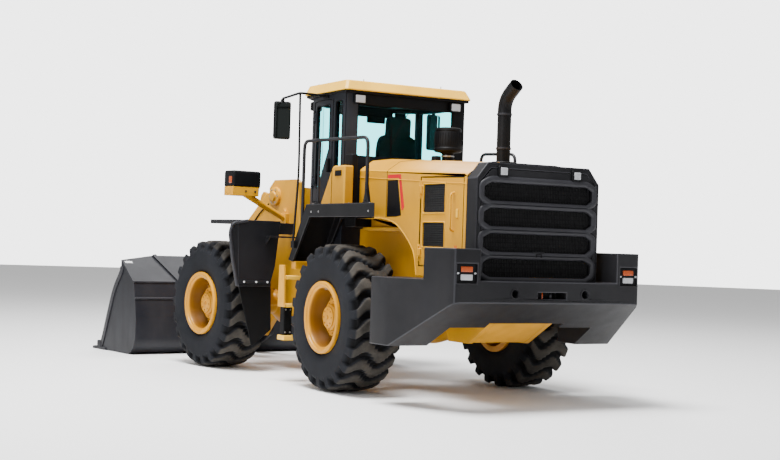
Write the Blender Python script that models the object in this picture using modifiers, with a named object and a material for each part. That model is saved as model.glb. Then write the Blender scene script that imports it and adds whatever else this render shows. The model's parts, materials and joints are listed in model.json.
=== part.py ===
"""Articulated wheel loader with a Z-bar bucket linkage, in metres, +Z up and +Y towards the bucket.

Shapes are written in the straight machine: Y = 0 at the hitch, X = 0 on the centreline, Z = 0 on the
ground. The front group then turns about the hitch by REST_STEER, and the whole machine moves so that
the origin lies under the middle of its bounding box.
"""

import math

import bmesh
import bpy
from mathutils import Matrix, Vector

# ---- Driving dimensions --------------------------------------------------------------------------
TOUCH = 0.0003  # between pieces that rest on each other
SIDES = 16  # facets of a round piece
FINE_SIDES = 24  # facets of a wheel
CREASE_ANGLE = math.radians(32)  # faces that meet at less than this are shaded as one

WHEELBASE = 3.20
TRACK = 2.26
REST_STEER = math.radians(6)

TYRE_RADIUS = 0.80
TYRE_WIDTH = 0.60
RIM_RADIUS = 0.395
BEAD_RADIUS = 0.345
DISC_INSET = 0.02  # back of the rim's disc, outboard of the tyre's middle

RAIL_OUT = 0.39  # outer face of a rear frame rail
RAIL_WALL = 0.06
RAIL_TOP = 1.27
RAIL_BASE = 1.00
TOWER_OUT = 0.56  # outer face of a front frame plate
TOWER_WALL = 0.06
HITCH_TOP = 1.20  # underside of the upper rear ear
HITCH_LOW = 0.70  # top of the lower rear ear
EAR_PLATE = 0.06
EAR_RADIUS = 0.15
HITCH_PIN = 0.045

WEIGHT_REAR = -3.80
WEIGHT_BASE = 0.60
WEIGHT_TOP = 1.285
WEIGHT_NOTCH = -3.42  # front face of the counterweight between the rails
WEIGHT_BREAK = 1.07  # where the rear face turns under
WEIGHT_CORNER = 1.13  # half width of the rear face
WING_OUT = 1.40
WING_REAR = -3.00
WING_FRONT = -2.64
WING_WALL = 0.42
LAMP_BOX_IN = 0.84
LAMP_BOX_FRONT = -3.42
LAMP_BOX_TOP = 1.595

HOOD_HALF = 0.75
HOOD_FRONT = -1.14
HOOD_REAR = -3.38
HOOD_CREASE = 2.47
HOOD_TOP = 2.60
HOOD_DROP = 0.055  # fall of the hood's roof per metre towards the rear
HOOD_WALL = 0.03
HOOD_BASE = 1.29
ARCH_TOP = 1.80  # top of the plates between the wheels and the engine
HOOD_LINE = 1.90  # lower edge of the hood's front part, over the wheel

DOOR_HINGE = -2.49
DOOR_REAR = -3.31
DOOR_BASE = 1.40
DOOR_TOP = 2.33
DOOR_LEAF = 0.028
DOOR_CLEAR = 0.006
HINGE_RADIUS = 0.010
HINGE_HEIGHTS = (1.50, 2.16)
HINGE_OUT = 0.0125  # hinge axis outside the surface it is mounted on

COWL_REAR = -3.56
COWL_HALF = 0.76
COWL_TOP = 2.46
SLAT_HALF = 0.74
SLAT_INNER = 0.60
SLAT_PITCH = 0.253
SLAT_HEIGHT = 0.18
SLAT_FIRST = 2.17  # middle of the top opening
GRILLE_HINGE = (COWL_HALF - 0.045, COWL_REAR - HINGE_OUT)

CAB_HALF = 0.82
CAB_REAR = -0.87
CAB_BASE = 1.56
CAB_TOP = 3.38
CAB_WALL = 0.06
CAB_CORNER_HALF = 0.75
CAB_HINGES = (2.30, 3.08)
CAB_CORNER_Y = 0.09
CAB_NOSE_HALF = 0.45
CAB_NOSE_Y = 0.33
ROOF_RISE = 0.12
ROOF_OVER = 0.06
GLASS = 0.008

DECK_TOP = 2.04
DECK_DEPTH = 0.145
DECK_OUT = 1.27
DECK_IN = 0.835
DECK_FRONT = -0.85
DECK_REAR = -2.43
DECK_SLANT = -1.66  # where the deck's rear edge meets its inner edge
DECK_TOE_Y = -0.43
DECK_TOE_Z = 1.40

BOOM_PIN = Vector((0, 1.25, 2.19))
BUCKET_PIN = Vector((0, 3.10, 0.36))
CRANK_PIN = Vector((0, 2.52, 1.30))
CRANK_LOW = Vector((0, 2.538, 0.433))
CRANK_TOP = Vector((0, 2.33, 2.20))
LINK_PIN = Vector((0, 3.098, 0.702))
BOOM_OUT = 0.492
BOOM_PLATE = 0.07

LIFT_BASE = Vector((0.325, 0.64, 1.15))
LIFT_EYE = Vector((0.325, 1.958, 1.284))
LIFT_TUBE = 1.18
TILT_BASE = Vector((0, 1.02, 1.98))
TILT_TUBE = 0.80
STEER_BASE = Vector((0.66, -0.95, 0.90))
STEER_EYE = Vector((0.36, 0.28, 0.90))
STEER_TUBE = 0.82
STEER_EYE_HALF = 0.045

BUCKET_HALF = 1.49
BUCKET_TIP = 4.61
BUCKET_WALL = 0.025

STACK_Y = -2.90
STACK_RADIUS = 0.073
STACK_TOP = 3.16

YELLOW = ("yellow_paint", (0.76, 0.40, 0.06), 0.35, 0.0)
CREAM = ("cream_paint", (0.86, 0.68, 0.38), 0.4, 0.0)
GREY = ("grey_paint", (0.055, 0.055, 0.06), 0.45, 0.0)
BLACK = ("black_paint", (0.02, 0.02, 0.022), 0.5, 0.0)
CAB_GREY = ("cab_paint", (0.05, 0.055, 0.065), 0.4, 0.0)
RUBBER = ("tyre_rubber", (0.03, 0.03, 0.03), 0.85, 0.0)
TINT = ("tinted_glass", (0.35, 0.75, 0.75), 0.05, 0.0)
CLOTH = ("dark_cloth", (0.025, 0.027, 0.03), 0.9, 0.0)
STEEL = ("chromed_rod", (0.7, 0.7, 0.72), 0.2, 1.0)
IRON = ("plain_iron", (0.12, 0.12, 0.12), 0.6, 0.5)

AXES = {
    "XY": Matrix.Identity(3),
    "YZ": Matrix(((0, 0, 1), (1, 0, 0), (0, 1, 0))),
    "XZ": Matrix(((1, 0, 0), (0, 0, -1), (0, 1, 0))),
}

parts = bpy.data.collections.new("wheel_loader")
construction = bpy.data.collections.new("construction")
bodies = {}
helpers = []


# ---- Making one shape ----------------------------------------------------------------------------
def material(finish):
    name, colour, rough, metal = finish
    found = bpy.data.materials.get(name)
    if found:
        return found
    made = bpy.data.materials.new(name)
    made.use_nodes = True
    shader = made.node_tree.nodes["Principled BSDF"]
    shader.inputs["Base Color"].default_value = (*colour, 1)
    shader.inputs["Roughness"].default_value = rough
    shader.inputs["Metallic"].default_value = metal
    return made


def place(mesh, matrix):
    """An object with this mesh, in no body yet."""
    obj = bpy.data.objects.new("shape", mesh)
    construction.objects.link(obj)
    obj.matrix_world = matrix
    return obj


def box(low, high):
    low, high = Vector(low), Vector(high)
    bpy.ops.mesh.primitive_cube_add(size=1, location=(low + high) / 2)
    obj = bpy.context.object
    for vertex in obj.data.vertices:
        vertex.co = vertex.co * (high - low)
    for owner in list(obj.users_collection):
        owner.objects.unlink(obj)
    construction.objects.link(obj)
    return obj


def from_curve(curve, matrix):
    """The evaluated mesh of a curve, its caps welded."""
    guide = bpy.data.objects.new("guide", curve)
    bpy.context.scene.collection.objects.link(guide)
    graph = bpy.context.evaluated_depsgraph_get()
    mesh = bpy.data.meshes.new_from_object(guide.evaluated_get(graph))
    bpy.data.objects.remove(guide)
    weld(mesh)
    return place(mesh, matrix)


def weld(mesh):
    """Joins a mesh's caps to its sides and turns its faces outwards."""
    work = bmesh.new()
    work.from_mesh(mesh)
    bmesh.ops.remove_doubles(work, verts=work.verts, dist=0.00002)
    bmesh.ops.recalc_face_normals(work, faces=work.faces)
    work.to_mesh(mesh)
    work.free()


def prism(plane, outline, near, far, holes=()):
    """A flat outline, with holes, carried from near to far along the axis its plane leaves out."""
    curve = bpy.data.curves.new("outline", "CURVE")
    curve.dimensions = "2D"
    curve.fill_mode = "BOTH"
    curve.extrude = abs(far - near) / 2
    for ring in (outline, *holes):
        spline = curve.splines.new("POLY")
        spline.points.add(len(ring) - 1)
        for point, (u, v) in zip(spline.points, ring):
            point.co = (u, v, 0, 1)
        spline.use_cyclic_u = True
    turn = AXES[plane]
    middle = (near + far) / 2
    along = turn.col[2] * (-middle if plane == "XZ" else middle)
    return from_curve(curve, Matrix.Translation(along) @ turn.to_4x4())


def lathe(profile, at, axis, sides=SIDES):
    """Points (radius, along) running down the outer side, from the +axis end, turned about the axis."""
    mesh = bpy.data.meshes.new("profile")
    rows = [(radius, 0, along) for radius, along in profile]
    edges = [(i, i + 1) for i in range(len(rows) - 1)]
    if profile[0][0] > 0:
        edges.append((len(rows) - 1, 0))
    mesh.from_pydata(rows, edges, [])
    turn = Vector((0, 0, 1)).rotation_difference(Vector(axis)).to_matrix().to_4x4()
    obj = place(mesh, Matrix.Translation(Vector(at)) @ turn)
    screw = obj.modifiers.new("turn", "SCREW")
    screw.axis = "Z"
    screw.steps = sides
    screw.render_steps = sides
    screw.use_merge_vertices = True
    screw.merge_threshold = 0.00001
    screw.use_smooth_shade = False
    return obj


def rod(start, end, radius, sides=SIDES):
    start, end = Vector(start), Vector(end)
    length = (end - start).length
    return lathe([(0, length), (radius, length), (radius, 0), (0, 0)], start, end - start, sides)


def ring(at, axis, outer, inner, half, sides=SIDES):
    profile = [(inner, half), (outer, half), (outer, -half), (inner, -half)]
    return lathe(profile, at, axis, sides)


def tube(points, radius, resolution=2, bend=0.06, steps=4):
    """A round bar through these points, each inner corner rounded with this bend radius."""
    path = rounded(points, bend, steps)
    curve = bpy.data.curves.new("bar", "CURVE")
    curve.dimensions = "3D"
    curve.bevel_depth = radius
    curve.bevel_resolution = resolution
    curve.use_fill_caps = True
    spline = curve.splines.new("POLY")
    spline.points.add(len(path) - 1)
    for point, place_at in zip(spline.points, path):
        point.co = (*place_at, 1)
    return from_curve(curve, Matrix.Identity(4))


def rounded(points, bend, steps):
    points = [Vector(p) for p in points]
    path = [points[0]]
    for before, corner, after in zip(points, points[1:], points[2:]):
        reach = min(bend, (before - corner).length / 2.1, (after - corner).length / 2.1)
        start = corner + (before - corner).normalized() * reach
        end = corner + (after - corner).normalized() * reach
        for i in range(steps + 1):
            t = i / steps
            path.append(start * (1 - t) ** 2 + corner * 2 * t * (1 - t) + end * t * t)
    return path + [points[-1]]


def boolean(base, others, operation):
    for other in others:
        step = base.modifiers.new(operation.lower(), "BOOLEAN")
        step.operation = operation
        step.object = other
        other.hide_render = True
        other.display_type = "WIRE"
        helpers.append((other, base))
    return base


def fuse(base, *others):
    return boolean(base, others, "UNION")


def cut(base, *others):
    return boolean(base, others, "DIFFERENCE")


def part(name, body, finish, obj):
    """Names a finished shape, shades its round faces smooth and puts it in its body."""
    obj.name = name
    obj.data.name = name
    construction.objects.unlink(obj)
    parts.objects.link(obj)
    obj.data.materials.clear()
    obj.data.materials.append(material(finish))
    for face in obj.data.polygons:
        face.use_smooth = True
    obj.data.set_sharp_from_angle(angle=CREASE_ANGLE)
    bodies.setdefault(body, []).append(obj)
    return obj


def side_name(side):
    return "left" if side < 0 else "right"


def span(a, b):
    return (min(a, b), max(a, b))


def sided_box(side, near, far, y, z):
    """A box between two distances from the centreline, on one side."""
    x = span(side * near, side * far)
    return box((x[0], y[0], z[0]), (x[1], y[1], z[1]))


def sided_prism(side, outline, near, far, holes=()):
    """A Y-Z outline between two distances from the centreline, on one side."""
    return prism("YZ", outline, *span(side * near, side * far), holes)


def arc(centre, radius, start, end, steps):
    """Points on a circle in a plane, from one angle in degrees to another."""
    angles = [math.radians(start + (end - start) * i / steps) for i in range(steps + 1)]
    return [(centre[0] + radius * math.cos(a), centre[1] + radius * math.sin(a)) for a in angles]


def knuckle(x, y, low, high):
    """A hinge's moving half: a short upright barrel on the hinge axis."""
    return rod((x, y, low), (x, y, high), HINGE_RADIUS, 12)


def knuckle_lugs(x, y, low, high, inward):
    """A hinge's fixed half: a lug above and one below the barrel, reaching back by inward (X, Y)."""
    axis = Vector((x, y))
    ends = (axis + Vector(inward), axis - Vector(inward).normalized() * HINGE_RADIUS * 0.6)
    side = Vector((-inward[1], inward[0])).normalized() * HINGE_RADIUS * 0.8
    outline = [tuple(ends[0] + side), tuple(ends[0] - side), tuple(ends[1] - side), tuple(ends[1] + side)]
    upper = prism("XY", outline, high + TOUCH, high + 0.04)
    lower = prism("XY", outline, low - 0.04, low - TOUCH)
    return [upper, lower]


# ---- Wheels and axles ----------------------------------------------------------------------------
def tyre(centre):
    half = TYRE_WIDTH / 2
    outer = [
        (TYRE_RADIUS, 0.66 * half),
        (TYRE_RADIUS - 0.04, 0.93 * half),
        (TYRE_RADIUS - 0.16, half),
        (RIM_RADIUS + 0.02, 0.86 * half),
    ]
    bead = [(BEAD_RADIUS + TOUCH, 0.84 * half)]
    inner = [
        (BEAD_RADIUS + TOUCH, 0.70 * half),
        (TYRE_RADIUS - 0.14, 0.84 * half),
    ]
    side = bead + [(r, x) for r, x in reversed(outer)]
    lower = [(r, -x) for r, x in reversed(side)]
    inside = [(r, -x) for r, x in inner] + [(r, x) for r, x in reversed(inner)]
    return lathe(side + lower + inside, centre, (1, 0, 0), FINE_SIDES)


def rim(side, centre):
    """A dished rim with a stepped hub, its outer side facing away from the machine."""
    half = TYRE_WIDTH / 2
    flange = 0.86 * half + 0.004
    lip = flange + 0.045
    profile = [
        (0, 0.215),
        (0.125, 0.215),
        (0.145, 0.15),
        (0.20, 0.145),
        (0.205, 0.085),
        (0.27, 0.085),
        (0.325, lip - 0.035),
        (0.34, lip),
        (RIM_RADIUS, lip - 0.012),
        (RIM_RADIUS, flange),
        (BEAD_RADIUS, flange),
        (BEAD_RADIUS, -flange),
        (RIM_RADIUS, -flange),
        (RIM_RADIUS, -lip + 0.012),
        (0.325, -lip),
        (0.30, DISC_INSET),
        (0, DISC_INSET),
    ]
    return lathe(profile, centre, (side, 0, 0), FINE_SIDES)


def axle(y, pad_in, pad_out, pad_top):
    """A driven axle: brake housings, arms, differential and the pads under the frame."""
    end = TRACK / 2 + DISC_INSET - TOUCH
    half = [
        (0, end),
        (0.17, end),
        (0.17, end - 0.09),
        (0.225, end - 0.10),
        (0.225, end - 0.33),
        (0.15, end - 0.42),
        (0.135, 0.34),
        (0.26, 0.19),
        (0.29, 0.06),
    ]
    profile = half + [(r, -x) for r, x in reversed(half)]
    shaft = lathe(profile, (0, y, TYRE_RADIUS), (1, 0, 0))
    pads = [
        sided_box(side, pad_in, pad_out, (y - 0.14, y + 0.14), (TYRE_RADIUS, pad_top - TOUCH))
        for side in (-1, 1)
    ]
    return fuse(shaft, *pads)


def build_wheels():
    for end, y in (("rear", -WHEELBASE / 2), ("front", WHEELBASE / 2)):
        for side in (-1, 1):
            centre = (side * TRACK / 2, y, TYRE_RADIUS)
            body = f"wheel_{end}_{side_name(side)}"
            part(f"tyre_{end}_{side_name(side)}", body, RUBBER, tyre(centre))
            part(f"rim_{end}_{side_name(side)}", body, YELLOW, rim(side, centre))
    rear = axle(-WHEELBASE / 2, RAIL_OUT - RAIL_WALL - 0.02, RAIL_OUT + 0.02, RAIL_BASE)
    part("rear_axle", "rear_frame", YELLOW, rear)
    front = axle(WHEELBASE / 2, TOWER_OUT - TOWER_WALL - 0.08, TOWER_OUT, RAIL_BASE)
    part("front_axle", "front_frame", YELLOW, front)


# ---- Rear frame ----------------------------------------------------------------------------------
def ear(direction, low, pin_hole):
    """A hitch ear: a tongue from the frame to a round end about the hitch axis."""
    root = direction * 0.45
    outline = [(-0.30, root), (-0.30, root - direction * 0.10)]
    start, end = (180, 360) if direction > 0 else (180, 0)
    outline += arc((0, 0), EAR_RADIUS, start, end, 12)
    outline += [(0.30, root - direction * 0.10), (0.30, root)]
    holes = [arc((0, 0), pin_hole, 0, 345, 23)] if pin_hole else []
    return prism("XY", outline, low, low + EAR_PLATE, holes)


def rear_frame():
    front = -0.42
    rear = WEIGHT_NOTCH + TOUCH
    outline = [
        (rear, 0.90),
        (rear, RAIL_TOP),
        (front, RAIL_TOP),
        (front, HITCH_LOW - EAR_PLATE),
        (-0.95, HITCH_LOW - EAR_PLATE),
        (-1.18, 0.90),
        (-1.24, RAIL_BASE),
        (-2.42, RAIL_BASE),
        (-2.55, WEIGHT_BASE + 0.01),
        (-2.92, WEIGHT_BASE + 0.01),
    ]
    rails = [sided_prism(s, outline, RAIL_OUT - RAIL_WALL, RAIL_OUT) for s in (-1, 1)]
    inner = RAIL_OUT - RAIL_WALL / 2
    crosses = [
        box((-inner, front - 0.06, HITCH_LOW - EAR_PLATE), (inner, front, RAIL_TOP)),
        box((-inner, -2.95, RAIL_BASE + 0.02), (inner, -2.80, RAIL_BASE + 0.10)),
        box((-inner, -2.10, RAIL_BASE + 0.02), (inner, -1.95, RAIL_BASE + 0.10)),
        prism(
            "YZ",
            [(-3.38, 0.88), (-3.38, 0.90), (-2.93, 0.65), (-2.55, 0.65), (-2.55, 0.62), (-2.93, 0.62)],
            -inner,
            inner,
        ),
    ]
    ears = [ear(-1, HITCH_TOP, HITCH_PIN + 0.002), ear(-1, HITCH_LOW - EAR_PLATE, HITCH_PIN + 0.002)]
    lugs = []
    for side in (-1, 1):
        lugs += steering_lugs(
            side, RAIL_OUT - 0.03, STEER_BASE.x + 0.04, (STEER_BASE.y - 0.08, STEER_BASE.y + 0.05)
        )
        lugs.append(cab_mount(side, -0.80))
        lugs.append(cab_mount(side, -0.48))
        lugs.append(inner_arch(side))
    return fuse(rails[0], rails[1], *crosses, *ears, *lugs)


def steering_lugs(side, near, far, y):
    """The two plates that hold a steering cylinder's eye between them."""
    above = STEER_BASE.z + STEER_EYE_HALF + TOUCH
    below = STEER_BASE.z - STEER_EYE_HALF - TOUCH
    return [
        sided_box(side, near, far, y, (above, above + 0.03)),
        sided_box(side, near, far, y, (below - 0.03, below)),
    ]


def cab_mount(side, y):
    return sided_box(side, RAIL_OUT - 0.04, RAIL_OUT + 0.14, (y - 0.05, y + 0.05), (1.20, CAB_BASE - TOUCH))


def inner_arch(side):
    """The plate between the wheel and the engine, which carries the hood's side."""
    outline = [
        (-2.62, HOOD_BASE + 0.02),
        (-2.62, ARCH_TOP),
        (-1.00, ARCH_TOP),
        (-1.00, 1.20),
        (-2.30, 1.20),
    ]
    wall = sided_prism(side, outline, 0.56, 0.58)
    shelf = sided_box(side, RAIL_OUT - 0.04, 0.57, (-2.30, -1.00), (1.20, 1.24))
    flange = sided_box(side, 0.57, HOOD_HALF - HOOD_WALL - TOUCH, (-2.46, -1.20), (ARCH_TOP - 0.04, ARCH_TOP))
    return fuse(wall, shelf, flange)


def engine_block():
    return box((-0.31, -3.00, RAIL_BASE + 0.10 + TOUCH), (0.31, -1.75, 1.95))


# ---- Counterweight -------------------------------------------------------------------------------
def weight_outline():
    """Plan of the right half, from the middle of the rear face round to the inner side."""
    corner = [(WEIGHT_CORNER - 0.06, WEIGHT_REAR), (WEIGHT_CORNER, WEIGHT_REAR + 0.015)]
    wing = [(WEIGHT_CORNER + 0.03, WEIGHT_REAR + 0.06), (WING_OUT, WING_REAR), (WING_OUT, WING_FRONT)]
    inner = [(WING_OUT - WING_WALL, WING_FRONT), (WING_OUT - WING_WALL - 0.10, -3.34)]
    middle = [(RAIL_OUT + 0.07, -3.34), (RAIL_OUT + 0.07, WEIGHT_NOTCH)]
    return corner + wing + inner + middle


def counterweight():
    half = weight_outline()
    outline = half + [(-x, y) for x, y in reversed(half)]
    beam = prism("XY", outline, WEIGHT_BASE, WEIGHT_TOP)
    lamps = [lamp_box(side) for side in (-1, 1)]
    wedge = prism(
        "YZ",
        [
            (WEIGHT_REAR - 0.3, WEIGHT_BREAK),
            (WEIGHT_REAR, WEIGHT_BREAK),
            (WING_REAR, WEIGHT_BASE),
            (WING_REAR, WEIGHT_BASE - 0.1),
            (WEIGHT_REAR - 0.3, WEIGHT_BASE - 0.1),
        ],
        -2,
        2,
    )
    holes = [rod((s * 0.43, WEIGHT_REAR - 0.1, 1.165), (s * 0.43, -3.5, 1.165), 0.042, 16) for s in (-1, 1)]
    slot = box((-0.15, WEIGHT_REAR - 0.1, 1.115), (0.20, -3.62, 1.18))
    recesses = [
        sided_box(side, 0.88, 1.11, (WEIGHT_REAR - 0.1, WEIGHT_REAR + 0.03), (1.26, 1.45))
        for side in (-1, 1)
    ]
    return cut(fuse(beam, *lamps), wedge, *holes, slot, *recesses)


def lamp_box(side):
    slope = (WING_OUT - WEIGHT_CORNER - 0.03) / (WING_REAR - WEIGHT_REAR - 0.06)
    front_x = WEIGHT_CORNER + 0.03 + slope * (LAMP_BOX_FRONT - WEIGHT_REAR - 0.06)
    outline = [
        (side * LAMP_BOX_IN, WEIGHT_REAR),
        (side * (WEIGHT_CORNER - 0.06), WEIGHT_REAR),
        (side * WEIGHT_CORNER, WEIGHT_REAR + 0.015),
        (side * (WEIGHT_CORNER + 0.03), WEIGHT_REAR + 0.06),
        (side * front_x, LAMP_BOX_FRONT),
        (side * LAMP_BOX_IN, LAMP_BOX_FRONT),
    ]
    return prism("XY", outline, WEIGHT_TOP - 0.1, LAMP_BOX_TOP)


# ---- Hood, cowl and engine doors -----------------------------------------------------------------
def hood_section(inset):
    crease, top = HOOD_CREASE - inset, HOOD_TOP - inset
    half = HOOD_HALF - inset
    shoulder = half - 0.16
    return [
        (half, HOOD_BASE - inset),
        (half, crease - 0.02),
        (half - 0.02, crease),
        (shoulder, top - 0.036),
        (shoulder - 0.25, top),
    ]


def hood_block(inset, front, rear):
    half = hood_section(inset)
    outline = half + [(-x, z) for x, z in reversed(half)]
    block = prism("XZ", outline, rear, front)
    for vertex in block.data.vertices:
        world = block.matrix_world @ vertex.co
        if world.z > 2:
            vertex.co.y -= HOOD_DROP * (HOOD_FRONT - world.y)
    return block


def wheel_arch():
    """What the hood's sides leave out over and behind the wheel."""
    points = [
        (HOOD_FRONT + 0.2, HOOD_LINE),
        (-1.72, HOOD_LINE),
        (-1.98, HOOD_LINE - 0.05),
        (-2.20, HOOD_LINE - 0.19),
        (-2.38, 1.55),
        (-2.46, HOOD_BASE - 0.2),
        (HOOD_FRONT + 0.2, HOOD_BASE - 0.2),
    ]
    return prism("YZ", points, -1, 1)


def hood():
    outer = hood_block(0, HOOD_FRONT, HOOD_REAR + TOUCH)
    inner = hood_block(HOOD_WALL, HOOD_FRONT - HOOD_WALL, HOOD_REAR - 0.2)
    doors = box((-1, DOOR_REAR, DOOR_BASE), (1, DOOR_HINGE, DOOR_TOP))
    stack = rod((0, STACK_Y, 2.2), (0, STACK_Y, 2.9), STACK_RADIUS + 0.03, 16)
    intake = rod((0.35, -1.26, 2.2), (0.35, -1.26, 2.9), 0.0705)
    lugs = []
    for side in (-1, 1):
        hinge = (side * (HOOD_HALF + HINGE_OUT), DOOR_HINGE)
        for z in HINGE_HEIGHTS:
            lugs += knuckle_lugs(*hinge, z, z + 0.08, (-side * HINGE_OUT * 1.8, 0.022))
    return fuse(cut(outer, inner, doors, wheel_arch(), stack, intake), *lugs)


def engine_door(side):
    """A flush side door with two grille openings and its grab bar, hinged at its front edge."""
    clear = DOOR_CLEAR
    front, rear = DOOR_HINGE - clear, DOOR_REAR + clear
    base, top = DOOR_BASE + clear, DOOR_TOP - clear
    outline = [(front, base), (front, top), (rear, top - 0.02), (rear, base)]
    leaf = sided_prism(side, outline, HOOD_HALF - DOOR_LEAF, HOOD_HALF)
    cuts = []
    for low, high in ((1.60, 1.853), (1.956, 2.252)):
        cuts.append(sided_box(side, HOOD_HALF - 0.012, HOOD_HALF + 0.02, (-2.97, -2.55), (low, high)))
    x = side * (HOOD_HALF - 0.01)
    out = side * (HOOD_HALF + 0.05)
    bar = tube([(x, -3.13, 1.76), (out, -3.15, 1.78), (out, -3.15, 2.14), (x, -3.13, 2.16)], 0.011)
    hinge_x = side * (HOOD_HALF + HINGE_OUT)
    hinges = []
    for z in HINGE_HEIGHTS:
        hinges.append(knuckle(hinge_x, DOOR_HINGE, z, z + 0.08))
        strap = (DOOR_HINGE - 0.04, DOOR_HINGE - 0.004)
        hinges.append(sided_box(side, HOOD_HALF - 0.005, HOOD_HALF + HINGE_OUT + 0.004, strap, (z, z + 0.08)))
    return cut(fuse(leaf, bar, *hinges), *cuts)


def cowl_outline(inset):
    half = COWL_HALF - inset
    base = WEIGHT_TOP + TOUCH
    side = [(half, base), (half, 2.30), (half - 0.13, COWL_TOP - inset)]
    return side + [(-x, z) for x, z in reversed(side)]


def opening_outline(inset):
    """The opening that the grille door fills, or the door itself with its clearance."""
    half = COWL_HALF - 0.05 - inset
    side = [(half, WEIGHT_TOP + 0.03 + inset), (half, 2.27 - inset), (half - 0.12, 2.40 - inset)]
    return side + [(-x, z) for x, z in reversed(side)]


def slat_outline(middle, grow=0.0):
    half_height = SLAT_HEIGHT / 2
    right = [
        (SLAT_INNER, middle - half_height),
        (SLAT_HALF + grow, middle - 0.05),
        (SLAT_HALF + grow, middle + 0.05),
        (SLAT_INNER, middle + half_height),
    ]
    return right + [(-x, z) for x, z in reversed(right)]


def rear_cowl():
    """The dark rear housing: a deep frame round the grille door."""
    frame = prism("XZ", cowl_outline(0), COWL_REAR, HOOD_REAR - TOUCH, [opening_outline(0)])
    lugs = []
    for z in HINGE_HEIGHTS:
        lugs += knuckle_lugs(*GRILLE_HINGE, z, z + 0.08, (0.0, HINGE_OUT * 1.6))
    return fuse(frame, *lugs)


def grille_door():
    """The rear grille: a dark panel with hexagonal openings backed by a thin screen."""
    back, face = COWL_REAR + 0.055, COWL_REAR - 0.004
    panel = prism("XZ", opening_outline(DOOR_CLEAR), face, back)
    pockets = []
    for i in range(4):
        middle = SLAT_FIRST - i * SLAT_PITCH
        pockets.append(prism("XZ", slat_outline(middle, -0.07), face - 0.1, back - 0.012))
    hinges = []
    x, y = GRILLE_HINGE
    for z in HINGE_HEIGHTS:
        hinges.append(knuckle(x, y, z, z + 0.08))
        hinges.append(box((x - 0.03, y - 0.004, z), (x - 0.0075, face + 0.005, z + 0.08)))
    return fuse(cut(panel, *pockets), *hinges)


def exhaust_stack():
    base = rod((0, STACK_Y, 2.5), (0, STACK_Y, 2.62), STACK_RADIUS + 0.018, 20)
    pipe = tube([(0, STACK_Y, 2.05), (0, STACK_Y, STACK_TOP), (0, STACK_Y - 0.26, STACK_TOP + 0.18)], STACK_RADIUS, 3, 0.09, 3)
    mouth = prism(
        "YZ", [(STACK_Y - 0.21, 2.9), (STACK_Y - 0.17, 3.5), (STACK_Y - 0.6, 3.5), (STACK_Y - 0.6, 2.9)], -0.3, 0.3
    )
    foot = box((-0.10, STACK_Y - 0.08, 1.95 + TOUCH), (0.10, STACK_Y + 0.08, 2.10))
    return cut(fuse(pipe, base, foot), mouth)


def air_precleaner():
    profile = [
        (0, 3.00),
        (0.14, 3.00),
        (0.158, 2.985),
        (0.162, 2.76),
        (0.168, 2.75),
        (0.168, 2.725),
        (0.155, 2.71),
        (0.07, 2.70),
        (0.07, 2.20),
        (0, 2.20),
    ]
    return lathe(profile, (0.35, -1.26, 0), (0, 0, 1))


# ---- Cab -----------------------------------------------------------------------------------------
def cab_plan(inset):
    half = CAB_HALF - inset
    corner = CAB_CORNER_HALF - inset
    nose = CAB_NOSE_HALF - inset * 0.4
    right = [
        (half, CAB_REAR + inset),
        (half, -0.30),
        (corner, CAB_CORNER_Y - inset * 0.4),
        (nose, CAB_NOSE_Y - inset),
    ]
    return right + [(-x, y) for x, y in reversed(right)]


def cab_frame():
    """The cab's shell: floor, walls and pillars, open at the top under the roof."""
    outer = prism("XY", cab_plan(0), CAB_BASE, CAB_TOP)
    inner = prism("XY", cab_plan(CAB_WALL), CAB_BASE + CAB_WALL, CAB_TOP + 0.1)
    openings = [
        box((-0.66, CAB_REAR - 0.1, 2.62), (0.66, CAB_REAR + 0.1, 3.24)),
        sided_box(-1, CAB_CORNER_HALF - 0.2, 1.0, (-0.58, 0.0), (2.10, 3.30)),
        sided_box(-1, CAB_HALF - 0.1, 1.0, (-0.81, -0.64), (2.16, 3.27)),
        sided_box(1, CAB_CORNER_HALF - 0.2, 1.0, (-0.80, 0.0), (2.16, 3.27)),
        prism("XY", windscreen_plan(), 1.95, 3.28),
    ]
    lugs = []
    for z in CAB_HINGES:
        lugs += knuckle_lugs(*cab_hinge(), z, z + 0.08, (HINGE_OUT * 1.8, 0.022))
    return fuse(cut(outer, inner, *openings), *lugs)


def windscreen_plan():
    """Plan of the gap that the windscreen fills, between the front pillars."""
    return [
        (-0.715, 0.035),
        (-0.715, 0.115),
        (-0.58, 0.6),
        (0.58, 0.6),
        (0.715, 0.115),
        (0.715, 0.035),
        (0.40, CAB_NOSE_Y - CAB_WALL - 0.05),
        (-0.40, CAB_NOSE_Y - CAB_WALL - 0.05),
    ]


def windscreen():
    """A bent pane along the cab's front, its ends at the pillars."""
    slope = (CAB_NOSE_Y - CAB_CORNER_Y) / (CAB_CORNER_HALF - CAB_NOSE_HALF)
    end = 0.70

    def edge(offset):
        y = CAB_CORNER_Y + slope * (CAB_CORNER_HALF - end) - offset
        return [(-end, y), (-CAB_NOSE_HALF, CAB_NOSE_Y - offset), (CAB_NOSE_HALF, CAB_NOSE_Y - offset), (end, y)]

    outline = edge(0.02) + list(reversed(edge(0.02 + GLASS)))
    return prism("XY", outline, 1.95 + TOUCH, 3.28 - TOUCH)


def rear_window():
    y = CAB_REAR + 0.02
    return box((-0.66 + TOUCH, y, 2.62 + TOUCH), (0.66 - TOUCH, y + GLASS, 3.24 - TOUCH))


def quarter_window():
    x = CAB_HALF - 0.02
    return sided_box(-1, x - GLASS, x, (-0.81 + TOUCH, -0.64 - TOUCH), (2.16 + TOUCH, 3.27 - TOUCH))


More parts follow.
